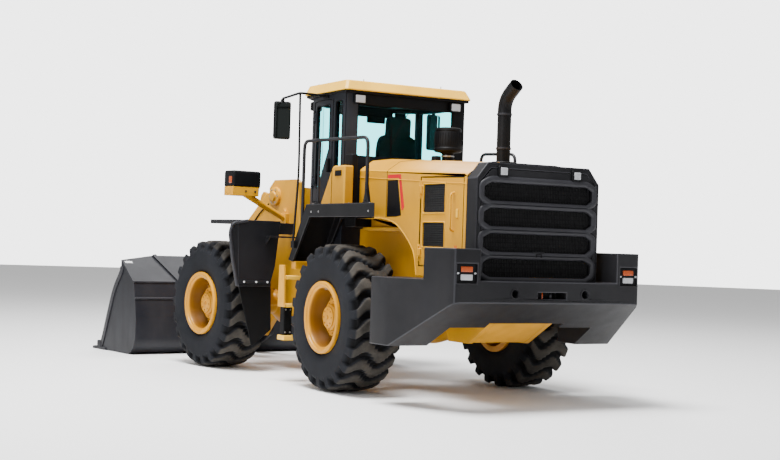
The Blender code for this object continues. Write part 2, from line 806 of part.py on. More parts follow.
def right_window():
    """A pane bent where the cab starts to narrow."""
    rear, knee, front = -0.80 + TOUCH, -0.30, -TOUCH
    slope = (CAB_HALF - CAB_CORNER_HALF) / (CAB_CORNER_Y - knee)

    def edge(offset):
        return [
            (CAB_HALF - offset, rear),
            (CAB_HALF - offset, knee),
            (CAB_HALF - offset - slope * (front - knee), front),
        ]

    outline = edge(0.02) + list(reversed(edge(0.02 + GLASS)))
    return prism("XY", outline, 2.16 + TOUCH, 3.27 - TOUCH)


def door_leaf_line(y):
    """Distance of the cab's left face from the centreline."""
    slope = (CAB_HALF - CAB_CORNER_HALF) / (CAB_CORNER_Y + 0.30)
    return CAB_HALF - max(0, y + 0.30) * slope


def door_plan(y_rear, y_front, out, wall):
    """Plan of a strip that follows the cab's left face."""
    ys = [y_rear, -0.30, y_front]
    outer = [(-(door_leaf_line(y) - out), y) for y in ys]
    inner = [(-(door_leaf_line(y) - out - wall), y) for y in reversed(ys)]
    return outer + inner


def cab_hinge():
    return (-(door_leaf_line(0.0) + HINGE_OUT), 0.0)


def door_window(shrink):
    """Outline of the door's window, its lower rear corner slanted; shrink moves every edge inwards."""
    outline = [(-0.50, 2.72), (-0.50, 3.24), (-0.10, 3.24), (-0.10, 2.30), (-0.14, 2.26), (-0.22, 2.26)]
    middle = Vector((-0.28, 2.78))
    return [tuple(middle + (Vector(point) - middle) * (1 - shrink)) for point in outline]


def cab_door():
    clear = DOOR_CLEAR
    leaf = prism("XY", door_plan(-0.58 + clear, 0.0 - clear, 0.0, 0.045), 2.10 + clear, 3.30 - clear)
    window = prism("YZ", door_window(0), -1.0, -0.5)
    handle = sided_box(-1, 0.78, 0.86, (-0.545, -0.51), (2.44, 2.60))
    hinges = []
    x, y = cab_hinge()
    for z in CAB_HINGES:
        hinges.append(knuckle(x, y, z, z + 0.08))
        hinges.append(box((x - 0.006, y - 0.05, z), (x + HINGE_OUT + 0.006, y, z + 0.08)))
    return cut(fuse(leaf, handle, *hinges), window)


def cab_door_glass():
    band = prism("XY", door_plan(-0.55, -0.05, 0.015, GLASS), 2.2, 3.28)
    return boolean(band, [prism("YZ", door_window(0.0015), -1.0, -0.5)], "INTERSECT")


def cab_roof():
    """A thin cap, its edge bevelled, over the cab and a little beyond it."""
    half, rear, front = CAB_HALF + ROOF_OVER - 0.01, CAB_REAR - ROOF_OVER - 0.03, CAB_NOSE_Y + 0.06
    right = [(half - 0.03, rear), (half, rear + 0.03), (half, front - 0.30), (half - 0.26, front)]
    outline = right + [(-x, y) for x, y in reversed(right)]
    cap = prism("XY", outline, CAB_TOP + TOUCH, CAB_TOP + ROOF_RISE)
    for vertex in cap.data.vertices:
        world = cap.matrix_world @ vertex.co
        if world.z > CAB_TOP + 0.06:
            vertex.co.x *= 0.94
            vertex.co.y = rear + 0.06 + (vertex.co.y - rear) * 0.92
    return cap


def seat():
    """Pedestal, cushion, back and headrest in one closed shape."""
    floor = CAB_BASE + CAB_WALL + TOUCH
    base = box((-0.18, -0.50, floor), (0.18, -0.10, 2.02))
    cushion = box((-0.25, -0.56, 2.0), (0.25, -0.02, 2.16))
    back = prism("YZ", [(-0.66, 2.14), (-0.72, 2.78), (-0.62, 2.78), (-0.54, 2.14)], -0.24, 0.24)
    neck = box((-0.06, -0.70, 2.76), (0.06, -0.65, 2.86))
    head = box((-0.14, -0.73, 2.84), (0.14, -0.62, 3.06))
    return fuse(cushion, base, back, neck, head)


def steering_column():
    """Dashboard pod, column and wheel in one closed shape."""
    floor = CAB_BASE + CAB_WALL + TOUCH
    pod = box((-0.16, 0.06, floor), (0.16, 0.24, 2.30))
    column = rod((0, 0.12, 2.22), (0, -0.01, 2.48), 0.035, 12)
    tilt = (Vector((0, -0.01, 2.48)) - Vector((0, 0.12, 2.22))).normalized()
    wheel = ring((0, -0.01, 2.48), tilt, 0.20, 0.17, 0.014)
    spoke = box((-0.185, -0.028, 2.468), (0.185, 0.012, 2.49))
    return fuse(pod, column, wheel, spoke)


# ---- Decks, ladders and fittings -----------------------------------------------------------------
def deck(side):
    """The walkway over a rear wheel, its sloping front and its guard rail, which is half as long on the right."""
    drop = DECK_DEPTH
    outline = [
        (DECK_REAR, DECK_TOP - drop),
        (DECK_REAR, DECK_TOP),
        (DECK_FRONT, DECK_TOP),
        (DECK_TOE_Y, DECK_TOE_Z),
        (DECK_TOE_Y - 0.11, DECK_TOE_Z - 0.02),
        (DECK_FRONT - 0.08, DECK_TOP - drop),
    ]
    block = sided_prism(side, outline, DECK_IN, DECK_OUT)
    pocket = [
        (DECK_REAR + 0.03, DECK_TOP - drop - 0.05),
        (DECK_REAR + 0.03, DECK_TOP - 0.02),
        (DECK_FRONT - 0.02, DECK_TOP - 0.02),
        (DECK_TOE_Y - 0.055, DECK_TOE_Z + 0.03),
        (DECK_TOE_Y - 0.18, DECK_TOE_Z - 0.2),
        (DECK_FRONT - 0.3, DECK_TOP - drop - 0.05),
    ]
    hollow = sided_prism(side, pocket, DECK_IN + 0.03, DECK_OUT - 0.03)
    block = cut(block, deck_corner(side, 0.0))
    hollow = cut(hollow, deck_corner(side, 0.06))
    x = side * (DECK_OUT - 0.05)
    base = DECK_TOP - 0.015
    top = 2.77
    end = -2.16 if side < 0 else -1.39
    rail = tube([(x, -0.66, DECK_TOP - 0.30), (x, -0.66, top), (x, end, top - 0.03), (x, end, base)], 0.021, 2, 0.10)
    post = tube([(x, -1.04, base), (x, -1.04, top)], 0.018, 2)
    foot = sided_prism(side, [(end - 0.06, base), (end, 2.24), (end + 0.06, base)], DECK_OUT - 0.075, DECK_OUT - 0.035)
    arm = sided_box(side, 0.50, DECK_IN + 0.04, (-1.30, -1.05), (ARCH_TOP + TOUCH, HOOD_LINE - 0.007))
    clip = sided_box(side, DECK_IN - 0.03, DECK_IN + 0.04, (-1.30, -1.05), (HOOD_LINE - 0.05, DECK_TOP - 0.1))
    return fuse(cut(block, hollow), rail, post, foot, arm, clip)


def deck_corner(side, ahead):
    """A cutter for the deck's inner rear corner, so that its rear edge runs slantwise to the outer corner."""
    corner = box((-0.5, -0.8, DECK_TOP - 0.4), (0.5, 0.0, DECK_TOP + 0.4))
    slant = math.atan2(DECK_SLANT - DECK_REAR, DECK_OUT - DECK_IN)
    middle = Vector((side * (DECK_OUT + DECK_IN) / 2, (DECK_SLANT + DECK_REAR) / 2 + ahead, 0))
    corner.matrix_world = Matrix.Translation(middle) @ Matrix.Rotation(-side * slant, 4, "Z") @ corner.matrix_world
    return corner


def ladder(side):
    """Steps hanging from the deck's toe, on the left, and their mirror image on the right."""
    near, far = DECK_OUT - 0.20, DECK_OUT + 0.12
    uprights = []
    for x in (near, far):
        outline = [(-0.47, 1.34), (-0.60, 1.34), (-0.62, 0.86), (-0.46, 0.86)]
        uprights.append(sided_prism(side, outline, x - 0.012, x + 0.012))
    steps = [
        sided_box(side, near, far, (-0.62, -0.46), (1.18, 1.215)),
        sided_box(side, near, far, (-0.63, -0.44), (0.86, 0.895)),
    ]
    hang = [
        sided_box(side, x - 0.01, x + 0.01, (-0.57, -0.51), (0.52, 0.88)) for x in (near + 0.03, far - 0.03)
    ]
    bottom = sided_box(side, near, far, (-0.63, -0.45), (0.48, 0.53))
    bracket = sided_box(side, near, DECK_OUT - 0.01, (-0.60, -0.50), (1.30, DECK_TOE_Z - 0.02 - TOUCH))
    return fuse(uprights[0], uprights[1], *steps, *hang, bottom, bracket)


def tool_cabinet(side):
    """A wedge-shaped locker on the deck, against the cab."""
    outline = [
        (-0.66, DECK_TOP + TOUCH),
        (-0.93, 2.46),
        (-0.97, 2.49),
        (-1.24, 2.49),
        (-1.24, DECK_TOP + TOUCH),
    ]
    locker = sided_prism(side, outline, DECK_IN + 0.045, DECK_IN + 0.165)
    bevel = locker.modifiers.new("edge", "BEVEL")
    bevel.width = 0.012
    bevel.segments = 1
    return locker


def mirror(side):
    """Head and arm from the roof, with the long grab bar beside the steps on the door's side only."""
    head_x, head_y = 1.08, 0.26
    bar_x, bar_y, high = 1.20, -0.46, 3.345
    head = box((-0.10, -0.03, -0.225), (0.10, 0.03, 0.225))
    head.matrix_world = Matrix.Translation((side * head_x, head_y, 3.08)) @ Matrix.Rotation(
        side * math.radians(12), 4, "Z"
    )
    bevel = head.modifiers.new("edge", "BEVEL")
    bevel.width = 0.02
    bevel.segments = 2
    if side > 0:
        start = (CAB_HALF + 0.024, bar_y + 0.06, high)
        arm = tube([start, (head_x, head_y, high), (head_x, head_y, 3.28)], 0.016, 1, 0.05)
        pad = box((CAB_HALF + TOUCH, -0.46, 3.315), (CAB_HALF + 0.018, -0.34, 3.37))
        return fuse(head, arm, pad)
    x = side * (DECK_OUT + 0.035)
    top = (side * bar_x, bar_y, high)
    start = (side * (CAB_HALF + 0.01), bar_y + 0.06, high)
    arm = tube([start, top, (side * head_x, head_y, high), (side * head_x, head_y, 3.28)], 0.016, 1, 0.05)
    bar = tube([top, (side * bar_x, bar_y - 0.03, 2.40), (x, -0.61, 1.58)], 0.015, 1, 0.2)
    foot = sided_box(side, DECK_OUT + TOUCH, DECK_OUT + 0.045, (-0.65, -0.57), (1.54, 1.62))
    pad = sided_box(side, CAB_HALF + TOUCH, CAB_HALF + 0.018, (-0.46, -0.34), (3.315, 3.37))
    return fuse(head, arm, bar, foot, pad)


# ---- Front frame ---------------------------------------------------------------------------------
def front_frame():
    back = 0.40
    outline = [
        (back, HITCH_LOW),
        (back, HITCH_TOP),
        (0.62, 1.45),
        (0.72, 2.36),
        (0.78, 2.40),
        (1.30, 2.40),
        (1.42, 2.30),
        (1.42, 2.00),
        (1.30, 1.60),
        (1.36, 1.20),
        (1.95, 1.16),
        (1.95, RAIL_BASE),
        (1.15, RAIL_BASE),
        (0.85, HITCH_LOW),
    ]
    plates = [sided_prism(s, outline, TOWER_OUT - TOWER_WALL, TOWER_OUT) for s in (-1, 1)]
    inner = TOWER_OUT - TOWER_WALL / 2
    crosses = [
        box((-inner, back, HITCH_LOW), (inner, back + 0.06, HITCH_TOP)),
        box((-inner, 0.72, 1.62), (inner, 0.78, 2.30)),
        box((-inner, 1.10, RAIL_BASE), (inner, 1.35, RAIL_BASE + 0.04)),
        box((-inner, 1.86, RAIL_BASE), (inner, 1.95, RAIL_BASE + 0.04)),
        box((-inner, back, HITCH_LOW), (inner, 0.85, HITCH_LOW + 0.04)),
    ]
    gap = TOUCH * 2
    ears = [
        ear(1, HITCH_TOP - EAR_PLATE - gap, 0),
        ear(1, HITCH_LOW + gap, 0),
        rod((0, 0, HITCH_TOP - EAR_PLATE), (0, 0, HITCH_TOP + EAR_PLATE + 0.02), HITCH_PIN),
        rod((0, 0, HITCH_LOW - EAR_PLATE - 0.02), (0, 0, HITCH_LOW + EAR_PLATE), HITCH_PIN),
    ]
    lugs = []
    for side in (-1, 1):
        lugs += steering_lugs(side, STEER_EYE.x - 0.05, STEER_EYE.x + 0.05, (0.23, back + 0.02))
        for x in (LIFT_BASE.x - 0.045 - TOUCH - 0.03, LIFT_BASE.x + 0.045 + TOUCH):
            lugs.append(
                sided_prism(
                    side,
                    [(0.52, HITCH_LOW + 0.02), (0.56, 1.20), (0.60, 1.23), (0.68, 1.23), (0.72, 1.18), (0.76, HITCH_LOW + 0.02)],
                    x,
                    x + 0.03,
                )
            )
        lugs.append(
            sided_prism(
                side,
                [(0.74, 1.80), (0.74, 2.14), (0.96, 2.06), (1.09, 2.02), (1.10, 1.94), (0.98, 1.88)],
                0.049 + TOUCH,
                0.085,
            )
        )
        lugs.append(ring((side * (TOWER_OUT + 0.005), BOOM_PIN.y, BOOM_PIN.z), (1, 0, 0), 0.12, 0.05, 0.02, 20))
    return fuse(plates[0], plates[1], *crosses, *ears, *lugs)


def front_mudguard(side):
    """A folded guard behind and over a front wheel, with its bracket and rubber flap."""
    rear, front = 0.66, 1.34
    top = 1.86
    out = 1.45
    lip = sided_box(side, 0.84, out, (rear, front), (top - 0.05, top))
    sheet = [
        (side * 0.84, top - 0.02),
        (side * out, top - 0.02),
        (side * 1.41, 1.05),
        (side * 0.97, 1.05),
        (side * 0.90, 1.30),
    ]
    panel = prism("XZ", sheet, rear, rear + 0.03)
    edge = [(side * out, top - 0.01), (side * 1.41, 1.05), (side * 1.38, 1.05), (side * 1.42, top - 0.01)]
    flange = prism("XZ", edge, rear, rear + 0.08)
    flap = prism(
        "XZ",
        [(side * 1.40, 1.12), (side * 1.18, 0.32), (side * 0.92, 0.52), (side * 0.94, 1.12)],
        rear + 0.028,
        rear + 0.04,
    )
    bracket = sided_box(side, TOWER_OUT + TOUCH, 0.90, (0.76, 0.88), (1.70, 1.84))
    return fuse(panel, lip, flange, flap, bracket)


def headlamp(side):
    """The lamp's housing on its yellow shelf and the tube that carries it from the tower."""
    y = 0.98
    housing = sided_box(side, 1.02, 1.40, (y - 0.10, y + 0.12), (2.26, 2.45))
    shelf = sided_box(side, 1.04, 1.42, (y - 0.11, y + 0.10), (2.16, 2.27))
    arm = tube([(side * (TOWER_OUT + 0.03), y, 1.90), (side * 1.20, y, 2.20)], 0.04, 1)
    flange = sided_box(side, TOWER_OUT + TOUCH, TOWER_OUT + 0.05, (y - 0.06, y + 0.06), (1.84, 1.97))
    return fuse(housing, shelf, arm, flange)


# ---- Boom, linkage and bucket --------------------------------------------------------------------
def boom_outline():
    upper = [(1.16, 2.29), (1.25, 2.33), (1.62, 2.22), (2.10, 1.86), (2.50, 1.46), (2.74, 1.06)]
    end = [(2.92, 0.72), (3.19, 0.43)] + arc((BUCKET_PIN.y, BUCKET_PIN.z), 0.10, 30, -110, 6)
    lower = [(2.78, 0.56), (2.46, 0.92), (2.28, 0.96), (2.06, 1.08), (1.86, 1.17), (1.50, 1.68), (1.14, 2.08)]
    return upper + end + lower


def boom():
    """Two curved plates joined by one cross tube that carries the bellcrank."""
    plates = [sided_prism(s, boom_outline(), BOOM_OUT - BOOM_PLATE, BOOM_OUT) for s in (-1, 1)]
    reach = BOOM_OUT - BOOM_PLATE / 2
    tube_at = (2.235, 1.085)
    cross = rod((-reach, *tube_at), (reach, *tube_at), 0.09)
    bracket = [
        (2.20, 1.00),
        (2.18, 1.16),
        (2.40, 1.40),
        (2.52, 1.42),
        (2.63, 1.34),
        (2.61, 1.22),
        (2.36, 1.00),
    ]
    lugs = [sided_prism(s, bracket, 0.1003, 0.145) for s in (-1, 1)]
    bosses = []
    for side in (-1, 1):
        bosses.append(
            rod(
                (side * (LIFT_EYE.x + 0.045 + TOUCH), LIFT_EYE.y, LIFT_EYE.z),
                (side * reach, LIFT_EYE.y, LIFT_EYE.z),
                0.075,
                20,
            )
        )
        bosses.append(
            rod(
                (side * (BOOM_OUT - BOOM_PLATE - 0.03), BOOM_PIN.y, BOOM_PIN.z),
                (side * (TOWER_OUT - TOWER_WALL - TOUCH), BOOM_PIN.y, BOOM_PIN.z),
                0.13,
            )
        )
    return fuse(plates[0], plates[1], cross, *lugs, *bosses)


def bellcrank():
    """Two arms side by side about a solid hub, with room between them for the rod and the link."""
    outline = [
        (2.25, 2.20),
        (2.28, 2.27),
        (2.35, 2.29),
        (2.41, 2.24),
        (2.68, 1.36),
        (2.66, 1.20),
        (2.62, 0.44),
        (2.58, 0.36),
        (2.50, 0.36),
        (2.46, 0.44),
        (2.39, 1.24),
        (2.38, 1.38),
    ]
    arms = [sided_prism(s, outline, 0.050, 0.095) for s in (-1, 1)]
    hub = rod((-0.1, *CRANK_PIN.yz), (0.1, *CRANK_PIN.yz), 0.11)
    return fuse(hub, *arms)


def tilt_link():
    return eye_bar(CRANK_LOW, LINK_PIN, 0.07, 0.045, 0.049)


def eye_bar(start, end, boss, half_bar, half_width):
    """A flat bar between two round eyes, its pins along X."""
    along = (end - start).normalized()
    across = Vector((0, -along.z, along.y)) * half_bar
    corners = [start + across, end + across, end - across, start - across]
    bar = prism("YZ", [(c.y, c.z) for c in corners], start.x - half_width * 0.8, start.x + half_width * 0.8)
    eyes = [rod((p.x - half_width, p.y, p.z), (p.x + half_width, p.y, p.z), boss, 20) for p in (start, end)]
    return fuse(bar, *eyes)


def bucket_profile(inset):
    """Side view of the bucket's body, from the lip round the back to the top edge."""
    w = inset
    return [
        (3.52, w),
        (3.42, 0.03 + w),
        (3.33 + w, 0.10 + w / 2),
        (3.285 + w, 0.22),
        (3.28 + w, 0.50),
        (3.334 + w, 0.775),
        (3.395 + w, 1.002 - w / 2),
    ]


def bucket():
    """An open box: side plates, rolled back, sloping top guard, lip and ears."""
    mouth = [(3.796, 1.29), (3.806, 1.123), (4.013, 0.86), (4.31, 0.208), (4.42, 0.0)]
    outer = bucket_profile(0) + mouth
    body = prism("YZ", outer, -BUCKET_HALF, BUCKET_HALF)
    w = BUCKET_WALL
    hollow = bucket_profile(w) + [(3.796, 1.29 - w), (4.9, 1.29 - w), (4.9, w)]
    inside = prism("YZ", hollow, -BUCKET_HALF + w, BUCKET_HALF - w)
    lip = box((-BUCKET_HALF - 0.02, 4.20, 0.0), (BUCKET_HALF + 0.02, BUCKET_TIP, 0.035))
    guard = top_guard()
    ears = []
    for side in (-1, 1):
        outline = [(3.30, 0.14), (3.30, 0.60), (3.20, 0.56), *arc(BUCKET_PIN.yz, 0.11, 90, 270, 8), (3.16, 0.20)]
        near, far = BOOM_OUT - BOOM_PLATE, BOOM_OUT
        ears.append(sided_prism(side, outline, near - TOUCH - 0.05, near - TOUCH))
        ears.append(sided_prism(side, outline, far + TOUCH, far + TOUCH + 0.05))
        link = [(3.31, 0.50), (3.40, 0.97), (3.30, 0.90), *arc(LINK_PIN.yz, 0.085, 100, 260, 6)]
        ears.append(sided_prism(side, link, 0.0503, 0.09))
    return fuse(cut(body, inside), lip, guard, *ears)


def top_guard():
    """The plate that rises from the back's ridge, higher in its middle, with its ribs."""
    foot, crest = Vector((3.395, 1.002)), Vector((3.796, 1.29))
    along = (crest - foot).normalized()
    side_rise = (crest - foot).length
    outline = [
        (-BUCKET_HALF, 0),
        (BUCKET_HALF, 0),
        (BUCKET_HALF, side_rise),
        (0.95, side_rise + 0.12),
        (-0.95, side_rise + 0.12),
        (-BUCKET_HALF, side_rise),
    ]
    plate = prism("XY", outline, -0.025, 0)
    turn = Matrix(((1, 0, 0), (0, along.x, -along.y), (0, along.y, along.x)))
    plate.matrix_world = Matrix.Translation((0, foot.x, foot.y)) @ turn.to_4x4() @ plate.matrix_world
    return plate


# ---- Cylinders -----------------------------------------------------------------------------------
def barrel(base, towards, length, radius, bore, pin_axis, half_width, neck):
    """A tube with an eye at its base, a neck as narrow as the eye, and a gland at its mouth."""
    axis = (towards - base).normalized()
    floor = neck + 0.035
    profile = [
        (0, floor),
        (bore + 0.012, floor),
        (bore + 0.012, length - 0.04),
        (bore + TOUCH, length - 0.04),
        (bore + TOUCH, length),
        (radius + 0.012, length),
        (radius + 0.012, length - 0.07),
        (radius, length - 0.075),
        (radius, neck + 0.015),
        (half_width * 0.9, neck),
        (half_width * 0.9, 0),
        (0, 0),
    ]
    eye = rod(base - pin_axis * half_width, base + pin_axis * half_width, neck - 0.025)
    return fuse(lathe(profile, base, axis), eye)


def piston_rod(base, eye, start, radius, pin_axis, half_width, boss):
    """A plain rod from inside the tube to its eye."""
    axis = (eye - base).normalized()
    bar = rod(base + axis * start, eye, radius)
    end = rod(eye - pin_axis * half_width, eye + pin_axis * half_width, boss)
    return fuse(bar, end)


def mirror_x(point, side):
    return Vector((side * point.x, point.y, point.z))


def front_to_rest(point):
    """Where a point of the straight front group lies at the stored steering angle."""
    return Matrix.Rotation(REST_STEER, 3, "Z") @ point


def cylinder(name, base, eye, ram):
    """One cylinder, its tube and its rod as separate bodies; ram is one of the rows below."""
    length, radius, bore, start, pin, half, neck = ram
    tube_obj = barrel(base, eye, length, radius, bore, pin, half, neck)
    part(f"{name}_barrel", f"{name}_barrel", YELLOW, tube_obj)
    shaft = piston_rod(base, eye, start, bore, pin, half, neck - 0.03)
    part(f"{name}_rod", f"{name}_rod", STEEL, shaft)


def build_cylinders():
    # Tube length, tube radius, rod radius, the rod's inner end at rest, pin direction, half an eye's
    # width, and the neck's length.
    lift = (LIFT_TUBE, 0.075, 0.045, 0.175, Vector((1, 0, 0)), 0.045, 0.105)
    tilt = (TILT_TUBE, 0.07, 0.04, 0.50, Vector((1, 0, 0)), 0.049, 0.10)
    steer = (STEER_TUBE, 0.045, 0.025, 0.44, Vector((0, 0, 1)), STEER_EYE_HALF, 0.07)
    for side in (-1, 1):
        label = side_name(side)
        cylinder(f"lift_{label}", mirror_x(LIFT_BASE, side), mirror_x(LIFT_EYE, side), lift)
        eye = front_to_rest(mirror_x(STEER_EYE, side))
        cylinder(f"steer_{label}", mirror_x(STEER_BASE, side), eye, steer)
    cylinder("tilt", TILT_BASE, CRANK_TOP, tilt)


# ---- Assembly ------------------------------------------------------------------------------------
def build_rear():
    part("rear_frame", "rear_frame", YELLOW, rear_frame())
    part("engine_block", "rear_frame", IRON, engine_block())
    part("counterweight", "rear_frame", GREY, counterweight())
    part("hood", "rear_frame", YELLOW, hood())
    part("rear_cowl", "rear_frame", GREY, rear_cowl())
    part("grille_door", "grille_door", GREY, grille_door())
    part("exhaust_stack", "rear_frame", BLACK, exhaust_stack())
    part("air_precleaner", "rear_frame", BLACK, air_precleaner())
    for side in (-1, 1):
        label = side_name(side)
        part(f"engine_door_{label}", f"engine_door_{label}", YELLOW, engine_door(side))
        part(f"deck_{label}", "rear_frame", BLACK, deck(side))
        part(f"ladder_{label}", "rear_frame", YELLOW, ladder(side))
        part(f"mirror_{label}", "rear_frame", BLACK, mirror(side))
    part("tool_cabinet", "rear_frame", YELLOW, tool_cabinet(-1))


def build_cab():
    part("cab_frame", "rear_frame", CAB_GREY, cab_frame())
    part("cab_roof", "rear_frame", CREAM, cab_roof())
    part("windscreen", "rear_frame", TINT, windscreen())
    part("rear_window", "rear_frame", TINT, rear_window())
    part("quarter_window", "rear_frame", TINT, quarter_window())
    part("right_window", "rear_frame", TINT, right_window())
    part("cab_door", "cab_door", CAB_GREY, cab_door())
    part("cab_door_glass", "cab_door", TINT, cab_door_glass())
    part("seat", "rear_frame", CLOTH, seat())
    part("steering_column", "rear_frame", BLACK, steering_column())


def build_front():
    part("front_frame", "front_frame", YELLOW, front_frame())
    for side in (-1, 1):
        label = side_name(side)
        part(f"front_mudguard_{label}", "front_frame", GREY, front_mudguard(side))
        part(f"headlamp_{label}", "front_frame", BLACK, headlamp(side))
    part("boom", "boom", YELLOW, boom())
    part("bellcrank", "bellcrank", YELLOW, bellcrank())
    part("tilt_link", "tilt_link", YELLOW, tilt_link())
    part("bucket", "bucket", GREY, bucket())


def pivots():
    """Each body: its parent, and the point its joint turns about in the straight machine."""
    table = {
        "front_frame": ("rear_frame", Vector((0, 0, HITCH_TOP))),
        "grille_door": ("rear_frame", Vector((*GRILLE_HINGE, 1.8))),
        "cab_door": ("rear_frame", Vector((*cab_hinge(), 2.7))),
        "boom": ("front_frame", BOOM_PIN),
        "bellcrank": ("boom", CRANK_PIN),
        "bucket": ("boom", BUCKET_PIN),
        "tilt_link": ("bucket", LINK_PIN),
        "tilt_barrel": ("front_frame", TILT_BASE),
        "tilt_rod": ("tilt_barrel", CRANK_TOP),
    }
    for side in (-1, 1):
        label = side_name(side)
        hinge = Vector((side * (HOOD_HALF + HINGE_OUT), DOOR_HINGE, 1.8))
        table[f"engine_door_{label}"] = ("rear_frame", hinge)
        table[f"lift_{label}_barrel"] = ("front_frame", mirror_x(LIFT_BASE, side))
        table[f"lift_{label}_rod"] = (f"lift_{label}_barrel", mirror_x(LIFT_EYE, side))
        table[f"steer_{label}_barrel"] = ("rear_frame", mirror_x(STEER_BASE, side))
        table[f"steer_{label}_rod"] = (f"steer_{label}_barrel", front_to_rest(mirror_x(STEER_EYE, side)))
        for end, y in (("rear", -WHEELBASE / 2), ("front", WHEELBASE / 2)):
            centre = Vector((side * TRACK / 2, y, TYRE_RADIUS))
            table[f"wheel_{end}_{label}"] = (f"{end}_frame", centre)
    return table


def new_empty(name, point):
    empty = bpy.data.objects.new(f"pivot_{name}", None)
    parts.objects.link(empty)
    empty.location = point
    return empty


def hang(child, parent):
    child.parent = parent
    child.matrix_parent_inverse = parent.matrix_world.inverted()


def assemble():
    """Parents every piece to the empty on its joint, steers the front group, and centres the machine."""
    empties = {"rear_frame": new_empty("rear_frame", (0, 0, 0))}
    table = pivots()
    for name, (_, point) in table.items():
        empties[name] = new_empty(name, point)
    bpy.context.view_layer.update()
    for name, (parent, _) in table.items():
        hang(empties[name], empties[parent])
    for name, members in bodies.items():
        for obj in members:
            hang(obj, empties[name])
    for other, base in helpers:
        hang(other, base)
    empties["front_frame"].rotation_euler.z = REST_STEER
    bpy.context.view_layer.update()
    graph = bpy.context.evaluated_depsgraph_get()
    corners = []
    for obj in parts.objects:
        if obj.type == "MESH":
            solid = obj.evaluated_get(graph)
            corners += [solid.matrix_world @ vertex.co for vertex in solid.data.vertices]
    low = [min(corner[i] for corner in corners) for i in range(3)]
    high = [max(corner[i] for corner in corners) for i in range(3)]
    empties["rear_frame"].location = (-(low[0] + high[0]) / 2, -(low[1] + high[1]) / 2, -low[2])
    bpy.context.view_layer.update()
    return empties


def main():
    for obj in list(bpy.data.objects):
        bpy.data.objects.remove(obj, do_unlink=True)
    bpy.context.scene.collection.children.link(parts)
    bpy.context.scene.collection.children.link(construction)
    build_wheels()
    build_rear()
    build_cab()
    build_front()
    build_cylinders()
    construction.hide_render = True
    return assemble()


main()
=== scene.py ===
"""Looks of an articulated wheel loader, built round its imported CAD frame.

Every sub-assembly is a class with its own sizes. New shapes are surfaces worked out with numpy, and each
finish is a small class that writes its own shader nodes.
"""

from __future__ import annotations

import json
import logging
import math
from dataclasses import dataclass, field
from enum import Enum
from typing import Any, Callable, ClassVar, Iterable, Sequence

import bmesh
import bpy
import numpy as np
from mathutils import Matrix, Vector


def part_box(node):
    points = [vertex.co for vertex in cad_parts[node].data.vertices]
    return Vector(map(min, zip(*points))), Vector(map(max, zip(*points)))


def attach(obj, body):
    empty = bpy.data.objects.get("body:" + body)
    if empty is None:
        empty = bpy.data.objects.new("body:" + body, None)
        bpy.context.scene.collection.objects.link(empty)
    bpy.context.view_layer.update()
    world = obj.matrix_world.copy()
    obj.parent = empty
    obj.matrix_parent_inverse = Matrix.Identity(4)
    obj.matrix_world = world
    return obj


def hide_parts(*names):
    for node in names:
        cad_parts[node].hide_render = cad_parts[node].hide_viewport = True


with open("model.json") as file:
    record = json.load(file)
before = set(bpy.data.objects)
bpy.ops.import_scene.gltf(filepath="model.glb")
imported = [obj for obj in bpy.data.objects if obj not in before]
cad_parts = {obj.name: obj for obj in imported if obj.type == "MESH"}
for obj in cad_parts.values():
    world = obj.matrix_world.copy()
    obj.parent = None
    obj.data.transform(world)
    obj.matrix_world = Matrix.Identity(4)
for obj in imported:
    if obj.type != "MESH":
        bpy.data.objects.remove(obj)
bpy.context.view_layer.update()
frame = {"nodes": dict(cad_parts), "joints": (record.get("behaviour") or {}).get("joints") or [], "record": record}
LOG = logging.getLogger("loader")

Vec = Sequence[float]
Array = np.ndarray


class Side(Enum):
    """The machine's two sides, by the sign of X."""

    LEFT = -1
    RIGHT = 1

    @property
    def label(self) -> str:
        """The side's word in node names."""
        return self.name.lower()


# ---------------------------------------------------------------- places


@dataclass(frozen=True)
class Datum:
    """Where the straight machine's own coordinates lie in the frame.

    The rear group is only shifted. The front group is turned about the hitch as well.
    """

    hitch: tuple[float, float]
    turn: float

    @classmethod
    def from_joints(cls, joints: list[dict[str, Any]]) -> Datum:
        """Reads the hitch from the steering joint, and the turn from a front wheel's axle.

        Args:
            joints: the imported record's joints.

        Returns:
            The datum.
        """
        named = {joint["name"]: joint for joint in joints}
        x, y, _ = named["steering"]["pos_m"]
        axle = named["wheel_front_left_spin"]["axis"]
        return cls((x, y), math.atan2(axle[1], axle[0]))

    def rear(self) -> Matrix:
        """The rear group's place."""
        return Matrix.Translation((*self.hitch, 0.0))

    def front(self) -> Matrix:
        """The front group's place."""
        return self.rear() @ Matrix.Rotation(self.turn, 4, "Z")


DATUM = Datum.from_joints(frame["record"]["behaviour"]["joints"])
BODY_OF = {
    node: body
    for body, nodes in frame["record"]["behaviour"]["bodies"].items()
    for node in nodes
}


# ---------------------------------------------------------------- surfaces


